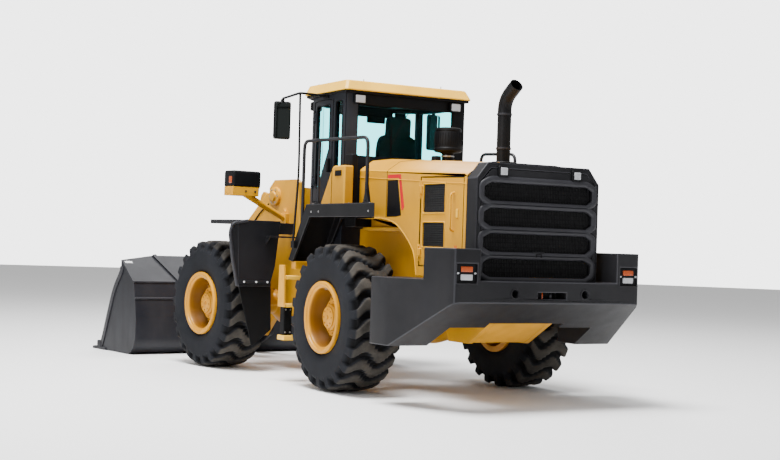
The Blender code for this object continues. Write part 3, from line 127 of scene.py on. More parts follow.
@dataclass
class Surface:
    """Points and faces of a shape, before it becomes a mesh.

    Args:
        points: an (n, 3) array.
        faces: rows of point numbers, in arrays of one width each.
        marks: one value per point, kept in the mesh as the attribute "mark".
    """

    points: Array
    faces: list[Array]
    marks: Array | None = None

    def moved(self, place: Matrix) -> Surface:
        """The same shape under a matrix.

        Args:
            place: the matrix.

        Returns:
            The moved shape.
        """
        grid = np.array(place)
        return Surface(self.points @ grid[:3, :3].T + grid[:3, 3], self.faces, self.marks)

    def repeated(self, places: Sequence[Matrix]) -> Surface:
        """One shape holding a copy under each matrix.

        Args:
            places: the matrices.

        Returns:
            All the copies together. Copy k's points are place k times the shape's points.
        """
        grids = np.array([np.array(place) for place in places])
        points = np.einsum("kij,nj->kni", grids[:, :3, :3], self.points) + grids[:, None, :3, 3]
        steps = np.arange(len(places)) * len(self.points)
        faces = [(rows[None] + steps[:, None, None]).reshape(-1, rows.shape[1]) for rows in self.faces]
        return Surface(points.reshape(-1, 3), faces)

    @staticmethod
    def joined(shapes: Iterable[Surface]) -> Surface:
        """Several shapes as one.

        Args:
            shapes: the shapes.

        Returns:
            One shape with all their points and faces.
        """
        points, faces, count = [], [], 0
        for shape in shapes:
            points.append(shape.points)
            faces += [rows + count for rows in shape.faces]
            count += len(shape.points)
        return Surface(np.concatenate(points), faces)


def lattice(rows: int, columns: int, wrap_rows: bool = False, wrap_columns: bool = False) -> Array:
    """The four-cornered faces of a grid of points.

    Args:
        rows: points along the first parameter.
        columns: points along the second.
        wrap_rows: whether the last row joins the first.
        wrap_columns: whether the last column joins the first.

    Returns:
        An (m, 4) array. Face (i, j) joins point (i, j) to its neighbours one step on in each parameter.
    """
    i = np.arange(rows if wrap_rows else rows - 1)[:, None]
    j = np.arange(columns if wrap_columns else columns - 1)[None]
    a, b = i * columns, (i + 1) % rows * columns
    c, d = j, (j + 1) % columns
    return np.stack([a + c, b + c, b + d, a + d], -1).reshape(-1, 4)


def smooth_curve(knots: Array, steps: int, closed: bool = False) -> Array:
    """Points on the Catmull-Rom curve through the knots.

    Between knots 1 and 2 the point at t is half of: 2 p1 + (p2 - p0) t + (2 p0 - 5 p1 + 4 p2 - p3) t^2
    + (3 p1 - p0 - 3 p2 + p3) t^3.

    Args:
        knots: an (n, k) array.
        steps: points for each stretch between knots.
        closed: whether the curve returns to its first knot.

    Returns:
        The points, in order.
    """
    knots = np.asarray(knots, float)
    if closed:
        around = np.concatenate([knots[-1:], knots, knots[:2]])
    else:
        around = np.concatenate([2 * knots[:1] - knots[1:2], knots, 2 * knots[-1:] - knots[-2:-1]])
    t = (np.arange(steps) / steps)[None, :, None]
    p0, p1, p2, p3 = (around[k : len(around) - 3 + k, None] for k in range(4))
    curve = 2 * p1 + (p2 - p0) * t + (2 * p0 - 5 * p1 + 4 * p2 - p3) * t**2
    curve = (curve + (3 * p1 - p0 - 3 * p2 + p3) * t**3) / 2
    points = curve.reshape(-1, knots.shape[1])
    return points if closed else np.concatenate([points, knots[-1:]])


def turned(profile: Sequence[Vec], steps: int = 64) -> Surface:
    """A profile of (radius, height) turned about Z.

    The point at angle a of profile point (r, h) is (r cos a, r sin a, h).

    Args:
        profile: the points, which start and end on the axis or form a closed loop.
        steps: how many points go round.

    Returns:
        The turned shape.
    """
    rows = np.asarray(profile, float)
    angle = np.linspace(0, 2 * np.pi, steps, endpoint=False)[:, None]
    radius, height = rows[:, 0][None], rows[:, 1][None] + 0 * angle
    points = np.stack([radius * np.cos(angle), radius * np.sin(angle), height], -1)
    closed = rows[0, 0] > 1e-6
    return Surface(points.reshape(-1, 3), [lattice(steps, len(rows), True, closed)])


def swept(path: Array, section: Array, closed: bool = False) -> Surface:
    """A flat section carried along a path, its ends closed.

    At each path point the section's (u, v) becomes u times a side vector plus v times an upright vector,
    both square to the path. The side vector is the path's direction crossed with a fixed reference.

    Args:
        path: an (n, 3) array.
        section: an (m, 2) ring.
        closed: whether the path returns to its start.

    Returns:
        The swept shape.
    """
    path = np.asarray(path, float)
    if closed:
        along = np.roll(path, -1, 0) - np.roll(path, 1, 0)
    else:
        along = np.gradient(path, axis=0)
    along /= np.linalg.norm(along, axis=1)[:, None]
    spread = path.max(0) - path.min(0)
    reference = np.eye(3)[int(np.argmin(spread))]
    side = np.cross(along, reference)
    side /= np.linalg.norm(side, axis=1)[:, None]
    upright = np.cross(side, along)
    rings = path[:, None] + section[None, :, :1] * side[:, None] + section[None, :, 1:] * upright[:, None]
    if not closed:
        rings = np.concatenate([np.repeat(path[:1, None], len(section), 1), rings])
        rings = np.concatenate([rings, np.repeat(path[-1:, None], len(section), 1)])
    faces = lattice(len(rings), len(section), closed, True)
    return Surface(rings.reshape(-1, 3), [faces])


def round_section(radius: float, steps: int = 16) -> Array:
    """A ring of points on a circle.

    Args:
        radius: the circle's.
        steps: how many points.

    Returns:
        An (steps, 2) array of (radius cos a, radius sin a).
    """
    angle = np.linspace(0, 2 * np.pi, steps, endpoint=False)
    return radius * np.stack([np.cos(angle), np.sin(angle)], 1)


def bent(corners: Sequence[Vec], bend: float, steps: int = 8) -> Array:
    """A path through these corners, each inner one rounded.

    Near a corner c the path is a (1 - t)^2 + 2 c t (1 - t) + b t^2, from a on one leg to b on the other.

    Args:
        corners: the path's corners.
        bend: how far from a corner its curve starts.
        steps: points on each curve.

    Returns:
        The path.
    """
    rows = np.asarray(corners, float)
    t = np.linspace(0, 1, steps)[:, None]
    path = [rows[:1]]
    for before, corner, after in zip(rows, rows[1:], rows[2:]):
        legs = before - corner, after - corner
        lengths = [np.linalg.norm(leg) for leg in legs]
        reach = min(bend, *(length / 2.1 for length in lengths))
        a, b = (corner + leg / length * reach for leg, length in zip(legs, lengths))
        path.append(a * (1 - t) ** 2 + 2 * corner * t * (1 - t) + b * t**2)
    return np.concatenate([*path, rows[-1:]])


def rod(path: Sequence[Vec], radius: float, bend: float = 0.08, steps: int = 16) -> Surface:
    """A round bar along a path.

    Args:
        path: its corners.
        radius: the bar's.
        bend: how far from a corner its curve starts.
        steps: points round the bar.

    Returns:
        The bar, a circle carried along the rounded path.
    """
    return swept(bent(path, bend), round_section(radius, steps))


def pillow_block(low: Vec, high: Vec, edge: float, steps: int = 5) -> Surface:
    """A block with rounded edges.

    A point q of the block's own surface moves to c + e (q - c) / |q - c|, where c is the nearest point of
    the block shrunk by e on every side.

    Args:
        low: its lowest corner.
        high: its highest corner.
        edge: the edges' radius e.
        steps: points across each rounded edge.

    Returns:
        The rounded block.
    """
    low, high = np.asarray(low, float), np.asarray(high, float)
    half, middle = (high - low) / 2, (high + low) / 2
    edge = min(edge, *(half * 0.98))
    curve = edge * np.tan(np.linspace(-1, 0, steps) * np.pi / 4)
    points, faces, count = [], [], 0
    for axis in range(3):
        u, v = (axis + 1) % 3, (axis + 2) % 3
        lines = [np.concatenate([-(half[k] - edge) + curve, (half[k] - edge) - curve[::-1]]) for k in (u, v)]
        grid_u, grid_v = np.meshgrid(*lines, indexing="ij")
        for sign in (-1, 1):
            face = np.empty((*grid_u.shape, 3))
            face[..., axis], face[..., u], face[..., v] = sign * half[axis], grid_u, grid_v
            points.append(face.reshape(-1, 3))
            faces.append(lattice(*grid_u.shape) + count)
            count += grid_u.size
    cloud = np.concatenate(points)
    core = np.clip(cloud, edge - half, half - edge)
    out = cloud - core
    out *= edge / np.linalg.norm(out, axis=1)[:, None]
    return Surface(core + out + middle, faces)


def plate(outline: Sequence[Vec], near: float, far: float, edge: float = 0.003) -> Surface:
    """A flat outline given a thickness along Z, its rims chamfered.

    Each ring is the outline moved towards its own inside by the chamfer: at a corner, by the sum of the
    two edges' inward normals over one plus their dot product.

    Args:
        outline: (x, y) corners.
        near: height of one face.
        far: height of the other.
        edge: the chamfer.

    Returns:
        The plate.
    """
    rows = np.asarray(outline, float)
    after = np.roll(rows, -1, 0) - rows
    after /= np.linalg.norm(after, axis=1)[:, None]
    area = np.sum(rows[:, 0] * np.roll(rows[:, 1], -1) - rows[:, 1] * np.roll(rows[:, 0], -1))
    normal = np.sign(area) * np.stack([-after[:, 1], after[:, 0]], 1)
    before = np.roll(normal, 1, 0)
    inset = (normal + before) / (1 + np.sum(normal * before, axis=1))[:, None] * edge
    step = math.copysign(edge, far - near)
    rings = [(rows + inset, near), (rows, near + step), (rows, far - step), (rows + inset, far)]
    points = np.concatenate([np.column_stack([ring, np.full(len(rows), h)]) for ring, h in rings])
    count = len(rows)
    caps = np.stack([np.arange(count), np.arange(count)[::-1] + 3 * count])
    return Surface(points, [lattice(4, count, False, True), caps])


def upright(origin: Vec, across: Vec, up: Vec = (0, 0, 1)) -> Matrix:
    """A place whose X runs across, whose Y runs up, and whose Z is X crossed with Y.

    Args:
        origin: where it stands.
        across: the direction of X.
        up: the direction of Y.

    Returns:
        The matrix.
    """
    x, y = Vector(across).normalized(), Vector(up).normalized()
    z = x.cross(y)
    turn = Matrix((x, y, z)).transposed().to_4x4()
    return Matrix.Translation(Vector(origin)) @ turn


def pointing(origin: Vec, direction: Vec) -> Matrix:
    """A place whose Z runs along a direction.

    Args:
        origin: where it stands.
        direction: the way Z points.

    Returns:
        The matrix.
    """
    turn = Vector((0, 0, 1)).rotation_difference(Vector(direction)).to_matrix().to_4x4()
    return Matrix.Translation(Vector(origin)) @ turn


def hexagon_bolt(size: float, height: float) -> Surface:
    """A bolt's head standing on Z = 0: six flats under a round chamfer.

    Args:
        size: half its width over corners.
        height: how far it stands out.

    Returns:
        The head.
    """
    rings = [(0.0, 0.0), (1.3, 0.0), (1.3, 0.12), (1.0, 0.14), (1.0, 0.86), (0.82, 1.0), (0.0, 1.0)]
    rows = np.array([(size * r, height * h) for r, h in rings])
    return turned(rows, 6)


# ---------------------------------------------------------------- shader nodes


class Socket:
    """A shader value that takes part in Python arithmetic."""

    def __init__(self, nodes: Nodes, link: Any) -> None:
        """Wraps an output.

        Args:
            nodes: the node tree's builder.
            link: the output socket.
        """
        self.nodes = nodes
        self.link = link

    def _with(self, operation: str, *values: Any) -> Socket:
        """A Math node on this value and others."""
        return self.nodes.math(operation, self, *values)

    def __add__(self, other: Any) -> Socket:
        """Sum."""
        return self._with("ADD", other)

    def __radd__(self, other: Any) -> Socket:
        """Sum, reflected."""
        return self.nodes.math("ADD", other, self)

    def __sub__(self, other: Any) -> Socket:
        """Difference."""
        return self._with("SUBTRACT", other)

    def __rsub__(self, other: Any) -> Socket:
        """Difference, reflected."""
        return self.nodes.math("SUBTRACT", other, self)

    def __mul__(self, other: Any) -> Socket:
        """Product."""
        return self._with("MULTIPLY", other)

    def __rmul__(self, other: Any) -> Socket:
        """Product, reflected."""
        return self.nodes.math("MULTIPLY", other, self)

    def __truediv__(self, other: Any) -> Socket:
        """Quotient."""
        return self._with("DIVIDE", other)

    def step(self, low: float, high: float) -> Socket:
        """0 below low, 1 above high, and a smooth rise between.

        Args:
            low: where the rise starts.
            high: where it ends.

        Returns:
            The new value.
        """
        return self.nodes.add(
            "MapRange", {"interpolation_type": "SMOOTHSTEP"}, {"Value": self, "From Min": low, "From Max": high}
        )


class Nodes:
    """Builds one material's node tree."""

    def __init__(self, name: str) -> None:
        """Starts an empty tree with a Principled shader.

        Args:
            name: the material's.
        """
        self.material = bpy.data.materials.new(name)
        self.material.use_nodes = True
        self.tree = self.material.node_tree
        self.shader = self.tree.nodes["Principled BSDF"]

    def add(
        self,
        kind: str,
        settings: dict[str, Any] | None = None,
        values: dict[str | int, Any] | None = None,
        output: str | int = 0,
    ) -> Socket:
        """Adds any node.

        Args:
            kind: the node's type, without ShaderNode.
            settings: its own settings, set first. A ramp's stops are (position, colour) pairs.
            values: numbers, colours or sockets for its inputs.
            output: which output is wanted.

        Returns:
            That output.
        """
        node = self.tree.nodes.new(f"ShaderNode{kind}")
        for name, value in (settings or {}).items():
            if name == "stops":
                for stop, (position, colour) in zip(self._stops(node, len(value)), value):
                    stop.position, stop.color = position, (*colour, 1)
            else:
                setattr(node, name, value)
        for name, value in (values or {}).items():
            self.feed(node.inputs[name], value)
        return Socket(self, node.outputs[output])

    @staticmethod
    def _stops(node: Any, count: int) -> Any:
        """A colour ramp's stops, as many as are needed."""
        stops = node.color_ramp.elements
        while len(stops) < count:
            stops.new(0.5)
        return stops

    def feed(self, target: Any, value: Any) -> None:
        """Links or sets one input.

        Args:
            target: the input.
            value: a Socket, a number, or a colour.
        """
        if isinstance(value, Socket):
            self.tree.links.new(value.link, target)
        elif isinstance(value, (tuple, list)) and len(value) == 3 and len(target.default_value) == 4:
            target.default_value = (*value, 1)
        else:
            target.default_value = value

    def math(self, operation: str, *values: Any) -> Socket:
        """A Math node.

        Args:
            operation: its operation.
            values: its inputs, in order.

        Returns:
            Its result.
        """
        return self.add("Math", {"operation": operation}, dict(enumerate(values)))

    def place(self) -> Socket:
        """The point's object coordinates."""
        return self.add("TexCoord", output="Object")

    def axes(self) -> tuple[Socket, Socket, Socket]:
        """X, Y and Z of the object coordinates."""
        split = self.add("SeparateXYZ", values={0: self.place()})
        outputs = split.link.node.outputs
        return tuple(Socket(self, outputs[k]) for k in range(3))

    def noise(self, scale: float, detail: float = 3.0, rough: float = 0.55, stretch: Vec | None = None) -> Socket:
        """A noise value round 0.5.

        Args:
            scale: waves in a metre.
            detail: octaves.
            rough: how strong the finer octaves are.
            stretch: scales of the three axes.

        Returns:
            The value.
        """
        spot = self.place()
        if stretch:
            spot = self.add("Mapping", values={"Vector": spot, "Scale": tuple(stretch)})
        values = {"Vector": spot, "Scale": scale, "Detail": detail, "Roughness": rough}
        return self.add("TexNoise", values=values)

    def mix(self, factor: Any, first: Any, second: Any) -> Socket:
        """A blend of two colours.

        Args:
            factor: 0 for the first, 1 for the second.
            first: a colour.
            second: a colour.

        Returns:
            The blended colour.
        """
        node = self.tree.nodes.new("ShaderNodeMix")
        node.data_type = "RGBA"
        ports = [port for port in node.inputs if port.enabled]
        for port, value in zip(ports, (factor, first, second)):
            self.feed(port, value)
        return Socket(self, next(port for port in node.outputs if port.enabled))

    def bump(self, height: Socket, strength: float, distance: float) -> Socket:
        """A bumped normal.

        Args:
            height: the height, 0 to 1.
            strength: how much of it shows.
            distance: metres from 0 to 1.

        Returns:
            The normal.
        """
        return self.add("Bump", values={"Height": height, "Strength": strength, "Distance": distance})

    def finish(self, **values: Any) -> bpy.types.Material:
        """Feeds the Principled shader.

        Args:
            values: its inputs, with _ for a space.

        Returns:
            The material.
        """
        for name, value in values.items():
            self.feed(self.shader.inputs[name.replace("_", " ")], value)
        return self.material


# ---------------------------------------------------------------- finishes


@dataclass(frozen=True)
class Finish:
    """A surface finish. Its material is made once."""

    name: str
    made: ClassVar[dict[str, bpy.types.Material]] = {}

    def material(self) -> bpy.types.Material:
        """The finish's material, made when first asked for."""
        if self.name not in Finish.made:
            Finish.made[self.name] = self.build(Nodes(self.name))
        return Finish.made[self.name]

    def build(self, nodes: Nodes) -> bpy.types.Material:
        """Writes the finish's nodes.

        Args:
            nodes: an empty tree.

        Returns:
            The finished material.
        """
        raise NotImplementedError


@dataclass(frozen=True)
class Paint(Finish):
    """Machine paint: a slightly uneven coat with dust that thickens towards the ground.

    With a painted shade colour, the mesh's marks say where the coat turns to it, painting shade there.
    """

    colour: tuple[float, float, float] = (0.5, 0.5, 0.5)
    rough: float = 0.38
    coat: float = 0.25
    dust: float = 0.35
    grain: float = 0.04
    dust_colour: tuple[float, float, float] = (0.17, 0.13, 0.09)
    gloss: float = 0.32
    # A darker tone that paints shade where the mesh's marks are high.
    deep: tuple[float, float, float] | None = None

    def build(self, nodes: Nodes) -> bpy.types.Material:
        """Writes a tinted coat, faint orange peel, scuffs and dust."""
        _, _, z = nodes.axes()
        patches = nodes.noise(1.3, 4.0)
        streaks = nodes.noise(5.0, 5.0, 0.6, (1.0, 1.0, 0.25))
        peel = nodes.noise(190.0, 2.0)
        scuffs = nodes.noise(34.0, 6.0, 0.72).step(0.655, 0.70)
        low = 1 - z.step(0.15, 1.9)
        dust = (low * self.dust + 0.16 * self.dust) * streaks.step(0.38, 0.72)
        darker = tuple(c * 0.86 for c in self.colour)
        lighter = tuple(min(1.0, c * 1.08 + 0.004) for c in self.colour)
        coat = nodes.mix(patches.step(0.3, 0.7), darker, lighter)
        coat = nodes.mix(scuffs * 0.22, coat, tuple(c * 0.62 + 0.004 for c in self.colour))
        # Painted shade: the coat turns to the darker tone where the marks are high.
        if self.deep:
            mark = nodes.add("Attribute", {"attribute_name": "mark"}, output="Fac")
            coat = nodes.mix(mark, coat, self.deep)
        base = nodes.mix(dust, coat, self.dust_colour)
        rough = self.rough + dust * 0.4 + (streaks - 0.5) * 0.14 + scuffs * 0.12
        height = peel * 0.5 + streaks * 0.5
        normal = nodes.bump(height, self.grain * 4, 0.0016)
        return nodes.finish(
            Base_Color=base,
            Roughness=rough,
            Normal=normal,
            Specular_IOR_Level=self.gloss,
            Coat_Weight=self.coat,
            Coat_Roughness=0.2,
        )


@dataclass(frozen=True)
class Rubber(Finish):
    """Tyre rubber, worn brown on the lugs and nearly black in the grooves as painted shade, by the mesh's marks."""

    # groove is a near-black tone that paints shade in the grooves.
    groove: tuple[float, float, float] = (0.0018, 0.0018, 0.0022)
    wall: tuple[float, float, float] = (0.0075, 0.0082, 0.0105)
    worn: tuple[float, float, float] = (0.062, 0.055, 0.046)

    def build(self, nodes: Nodes) -> bpy.types.Material:
        """Writes three tones by the marks, with bloom on the walls and fine scratches."""
        mark = nodes.add("Attribute", {"attribute_name": "mark"}, output="Fac")
        cloud = nodes.noise(6.0, 5.0, 0.65)
        grit = nodes.noise(120.0, 4.0, 0.7)
        bloom = nodes.noise(2.2, 3.0).step(0.35, 0.75)
        wall = nodes.mix(bloom * 0.6, self.wall, tuple(c * 1.9 for c in self.wall))
        worn = nodes.mix(cloud.step(0.3, 0.7), tuple(c * 0.62 for c in self.worn), self.worn)
        # Painted shade: the grooves turn near black by the marks.
        base = nodes.mix(mark.step(0.0, 0.5), self.groove, wall)
        base = nodes.mix(mark.step(0.5, 1.0) * (0.55 + cloud * 0.5), base, worn)
        rough = 0.66 + grit * 0.2 + mark * 0.08
        normal = nodes.bump(grit * 0.6 + cloud * 0.4, 0.35, 0.004)
        return nodes.finish(Base_Color=base, Roughness=rough, Normal=normal, Specular_IOR_Level=0.14)


@dataclass(frozen=True)
class Glazing(Finish):
    """Tinted safety glass with a faint bloom of dust."""

    tint: tuple[float, float, float] = (0.42, 0.93, 0.95)

    def build(self, nodes: Nodes) -> bpy.types.Material:
        """Writes clear tinted glass whose polish varies with its haze."""
        haze = nodes.noise(3.0, 5.0, 0.6).step(0.4, 0.8)
        smear = nodes.noise(14.0, 3.0, 0.5, (1.0, 1.0, 0.2))
        return nodes.finish(
            Base_Color=nodes.mix(haze * 0.3, self.tint, tuple(c * 0.94 for c in self.tint)),
            Roughness=haze * 0.02 + smear * 0.01,
            Transmission_Weight=1.0,
            IOR=1.12,
            Specular_IOR_Level=0.5,
        )


@dataclass(frozen=True)
class Moulded(Finish):
    """Grained plastic or a textured dark coat."""

    colour: tuple[float, float, float] = (0.02, 0.02, 0.022)
    rough: float = 0.5
    grain: float = 260.0

    def build(self, nodes: Nodes) -> bpy.types.Material:
        """Writes leathery grain over a slightly faded colour."""
        fade = nodes.noise(2.4, 4.0).step(0.35, 0.75)
        cells = nodes.add("TexVoronoi", values={"Vector": nodes.place(), "Scale": self.grain})
        dust = nodes.noise(7.0, 4.0, 0.65).step(0.5, 0.8)
        base = nodes.mix(fade * 0.4, self.colour, tuple(c * 1.5 + 0.001 for c in self.colour))
        base = nodes.mix(dust * 0.06, base, (0.06, 0.054, 0.047))
        normal = nodes.bump(cells, 0.25, 0.0008)
        return nodes.finish(
            Base_Color=base, Roughness=self.rough + dust * 0.2 + fade * 0.06, Normal=normal, Specular_IOR_Level=0.14
        )


@dataclass(frozen=True)
class Metal(Finish):
    """Bare metal: chromed rods, zinc bolts and castings."""

    colour: tuple[float, float, float] = (0.6, 0.6, 0.62)
    rough: float = 0.25
    stain: float = 0.2

    def build(self, nodes: Nodes) -> bpy.types.Material:
        """Writes brushed roughness and brown stains."""
        brushed = nodes.noise(60.0, 3.0, 0.6, (1.0, 6.0, 1.0))
        stains = nodes.noise(11.0, 5.0, 0.7).step(0.52, 0.78) * self.stain
        base = nodes.mix(stains, self.colour, (0.11, 0.07, 0.045))
        normal = nodes.bump(brushed, 0.12, 0.0006)
        return nodes.finish(
            Base_Color=base, Roughness=self.rough + brushed * 0.12 + stains * 0.5, Metallic=1 - stains, Normal=normal
        )


@dataclass(frozen=True)
class Woven(Finish):
    """Seat cloth: a plain weave with a soft sheen."""

    colour: tuple[float, float, float] = (0.02, 0.022, 0.026)
    threads: float = 260.0

    def build(self, nodes: Nodes) -> bpy.types.Material:
        """Writes two crossed sets of threads and lint."""
        x, _, z = nodes.axes()
        warp = nodes.math("SINE", (x + z * 0.3) * self.threads * 6.283)
        weft = nodes.math("SINE", (z - x * 0.3) * self.threads * 6.283)
        lint = nodes.noise(40.0, 4.0, 0.7)
        weave = warp * weft * 0.5 + 0.5
        base = nodes.mix(weave * 0.35 + lint * 0.3, self.colour, tuple(c * 2.6 for c in self.colour))
        return nodes.finish(
            Base_Color=base, Roughness=0.82 + lint * 0.12, Normal=nodes.bump(weave, 0.4, 0.0012), Sheen_Weight=0.02
        )


@dataclass(frozen=True)
class Screen(Finish):
    """Woven wire behind the grilles."""

    colour: tuple[float, float, float] = (0.03, 0.031, 0.034)
    pitch: float = 0.016
    level: bool = True

    def build(self, nodes: Nodes) -> bpy.types.Material:
        """Writes wires as ridges of two crossed waves, with painted shade between them."""
        x, y, z = nodes.axes()
        turn = 6.283 / self.pitch
        wires = nodes.math("SINE", z * turn)
        posts = nodes.math("SINE", (x + y) * turn * 0.5)
        ridge = nodes.math("MAXIMUM", wires, posts * 0.8).step(-0.2, 0.8)
        dust = nodes.noise(5.0, 5.0, 0.7).step(0.45, 0.75)
        # The dark between the wires is painted shade of the space behind the screen.
        base = nodes.mix(ridge, tuple(c * 0.25 for c in self.colour), self.colour)
        base = nodes.mix(dust * 0.2, base, (0.04, 0.038, 0.035))
        return nodes.finish(
            Base_Color=base, Roughness=0.6 + dust * 0.2, Metallic=ridge * 0.3, Normal=nodes.bump(ridge, 0.8, 0.004)
        )


@dataclass(frozen=True)
class TreadPlate(Finish):
    """Walkway sheet with raised, crossed lozenges."""

    colour: tuple[float, float, float] = (0.018, 0.018, 0.02)
    pitch: float = 0.06

    def build(self, nodes: Nodes) -> bpy.types.Material:
        """Writes two sets of short diagonal bars, dust in the low ground between."""
        x, y, _ = nodes.axes()
        turn = 6.283 / self.pitch
        first = nodes.math("SINE", (x + y) * turn)
        second = nodes.math("SINE", (x - y) * turn)
        across = first * 3 - nodes.math("ABSOLUTE", second) * 2
        bars = nodes.math("MAXIMUM", across, second * 3 - nodes.math("ABSOLUTE", first) * 2)
        raised = bars.step(1.2, 1.9)
        dust = nodes.noise(4.0, 5.0, 0.65).step(0.4, 0.75)
        base = nodes.mix(dust * (1 - raised) * 0.4, self.colour, (0.06, 0.052, 0.042))
        base = nodes.mix(raised * 0.3, base, (0.05, 0.05, 0.055))
        return nodes.finish(
            Base_Color=base, Roughness=0.55 - raised * 0.12 + dust * 0.2, Normal=nodes.bump(raised, 0.7, 0.003)
        )


@dataclass(frozen=True)
class Lens(Finish):
    """A moulded lamp lens with fine flutes. On a part that is no lamp, its faint glow is painted light."""

    colour: tuple[float, float, float] = (0.8, 0.25, 0.02)
    glow: float = 0.15

    def build(self, nodes: Nodes) -> bpy.types.Material:
        """Writes flutes and a faint glow, dimmed by grime."""
        x, _, z = nodes.axes()
        flutes = nodes.math("SINE", z * 6.283 / 0.012) * nodes.math("SINE", x * 6.283 / 0.02)
        grime = nodes.noise(20.0, 4.0, 0.6).step(0.45, 0.8)
        base = nodes.mix(grime * 0.2, self.colour, tuple(c * 0.4 for c in self.colour))
        glow = nodes.mix(grime * 0.3, self.colour, (0.0, 0.0, 0.0))
        return nodes.finish(
            Base_Color=base,
            Roughness=0.12 + grime * 0.25,
            Normal=nodes.bump(flutes * 0.5 + 0.5, 0.4, 0.002),
            Coat_Weight=0.5,
            Specular_IOR_Level=0.3,
            Emission_Color=glow,
            Emission_Strength=self.glow,
        )


@dataclass(frozen=True)
class Ground(Finish):
    """The pale floor."""

    def build(self, nodes: Nodes) -> bpy.types.Material:
        """Writes an almost even white."""
        cloud = nodes.noise(0.4, 3.0)
        return nodes.finish(Base_Color=nodes.mix(cloud, (0.93, 0.93, 0.93), (0.95, 0.95, 0.95)), Roughness=0.75)


OCHRE_DUST = (0.22, 0.13, 0.04)
DARK_DUST = (0.040, 0.036, 0.032)
YELLOW = Paint("yellow_coat", (0.62, 0.285, 0.002), 0.40, 0.06, 0.20, 0.05, OCHRE_DUST)
# The rim coat's last colour is painted shade for the dish.
RIM_YELLOW = Paint(
    "rim_coat", (0.60, 0.26, 0.003), 0.42, 0.05, 0.20, 0.06, (0.16, 0.09, 0.02), 0.25, (0.16, 0.06, 0.002)
)
HUB_YELLOW = Paint("hub_coat", (0.50, 0.21, 0.003), 0.42, 0.05, 0.20, 0.06, (0.16, 0.09, 0.02), 0.25)
CREAM = Paint("roof_coat", (0.84, 0.47, 0.035), 0.45, 0.06, 0.06, 0.05)
SLATE = Paint("slate_coat", (0.0095, 0.0095, 0.0115), 0.46, 0.03, 0.14, 0.07, DARK_DUST, 0.16)
BUCKET_SLATE = Paint("bucket_coat", (0.010, 0.0105, 0.0145), 0.44, 0.04, 0.18, 0.09, DARK_DUST, 0.18)
CAB_COAT = Paint("cab_coat", (0.0085, 0.010, 0.0145), 0.42, 0.04, 0.08, 0.04, DARK_DUST, 0.18)
BLACK = Paint("black_coat", (0.0026, 0.0026, 0.0034), 0.48, 0.02, 0.10, 0.05, (0.02, 0.018, 0.016), 0.14)
# The four lighter paints below are painted highlights: on rounded edges, beads, lips, ribs and strips they paint the
# shine of light along them, and on the cab's rear left pillar a painted reflection.
YELLOW_HIGHLIGHT = Paint("worn_yellow", (0.76, 0.37, 0.010), 0.38, 0.08, 0.12, 0.04)
SLATE_HIGHLIGHT = Paint("worn_slate", (0.026, 0.026, 0.031), 0.42, 0.04, 0.10, 0.05, DARK_DUST, 0.2)
CAB_HIGHLIGHT = Paint("worn_cab", (0.022, 0.025, 0.033), 0.40, 0.05, 0.08, 0.04, DARK_DUST, 0.2)
BLACK_HIGHLIGHT = Paint("worn_black", (0.012, 0.012, 0.015), 0.42, 0.04, 0.10, 0.04, DARK_DUST, 0.2)
TYRE = Rubber("tyre_rubber_skin")
GLAZING = Glazing("cyan_glass")
PLASTIC = Moulded("black_moulding", (0.0028, 0.0029, 0.0036))
TRIM = Moulded("grey_moulding", (0.006, 0.0066, 0.008), 0.55, 180.0)
FLAP = Moulded("flap_rubber", (0.002, 0.002, 0.0024), 0.7, 120.0)
CHROME = Metal("chromed_rod_skin", (0.72, 0.72, 0.74), 0.12, 0.05)
ZINC = Metal("zinc_bolts", (0.42, 0.42, 0.42), 0.32, 0.35)
CASTING = Metal("dark_casting", (0.045, 0.045, 0.05), 0.55, 0.6)
CLOTH = Woven("seat_cloth", (0.0035, 0.0032, 0.0032))
SCREEN = Screen("wire_screen", (0.014, 0.0145, 0.016))
TREAD = TreadPlate("tread_sheet", (0.007, 0.007, 0.008))
AMBER = Lens("amber_lens", (0.36, 0.050, 0.001), 0.02)
CLEAR = Lens("clear_lens", (0.42, 0.43, 0.45), 0.02)
# The red marker is no lamp: its faint glow is painted light.
REFLECTOR = Lens("red_marker", (0.62, 0.13, 0.004), 0.02)
DECAL_BLACK = Moulded("decal_black", (0.004, 0.004, 0.005), 0.4, 400.0)
DECAL_RED = Moulded("decal_red", (0.52, 0.008, 0.016), 0.4, 400.0)
DARK_MIRROR = Metal("mirror_face", (0.045, 0.052, 0.050), 0.04, 0.02)
BRIGHT = Paint("white_mark", (0.72, 0.73, 0.74), 0.35, 0.3, 0.1, 0.02)
GROUND = Ground("pale_floor")


# ---------------------------------------------------------------- pieces


class Shading(Enum):
    """How a piece's faces are shaded."""

    FLAT = 0
    CREASED = 35
    SMOOTH = 180


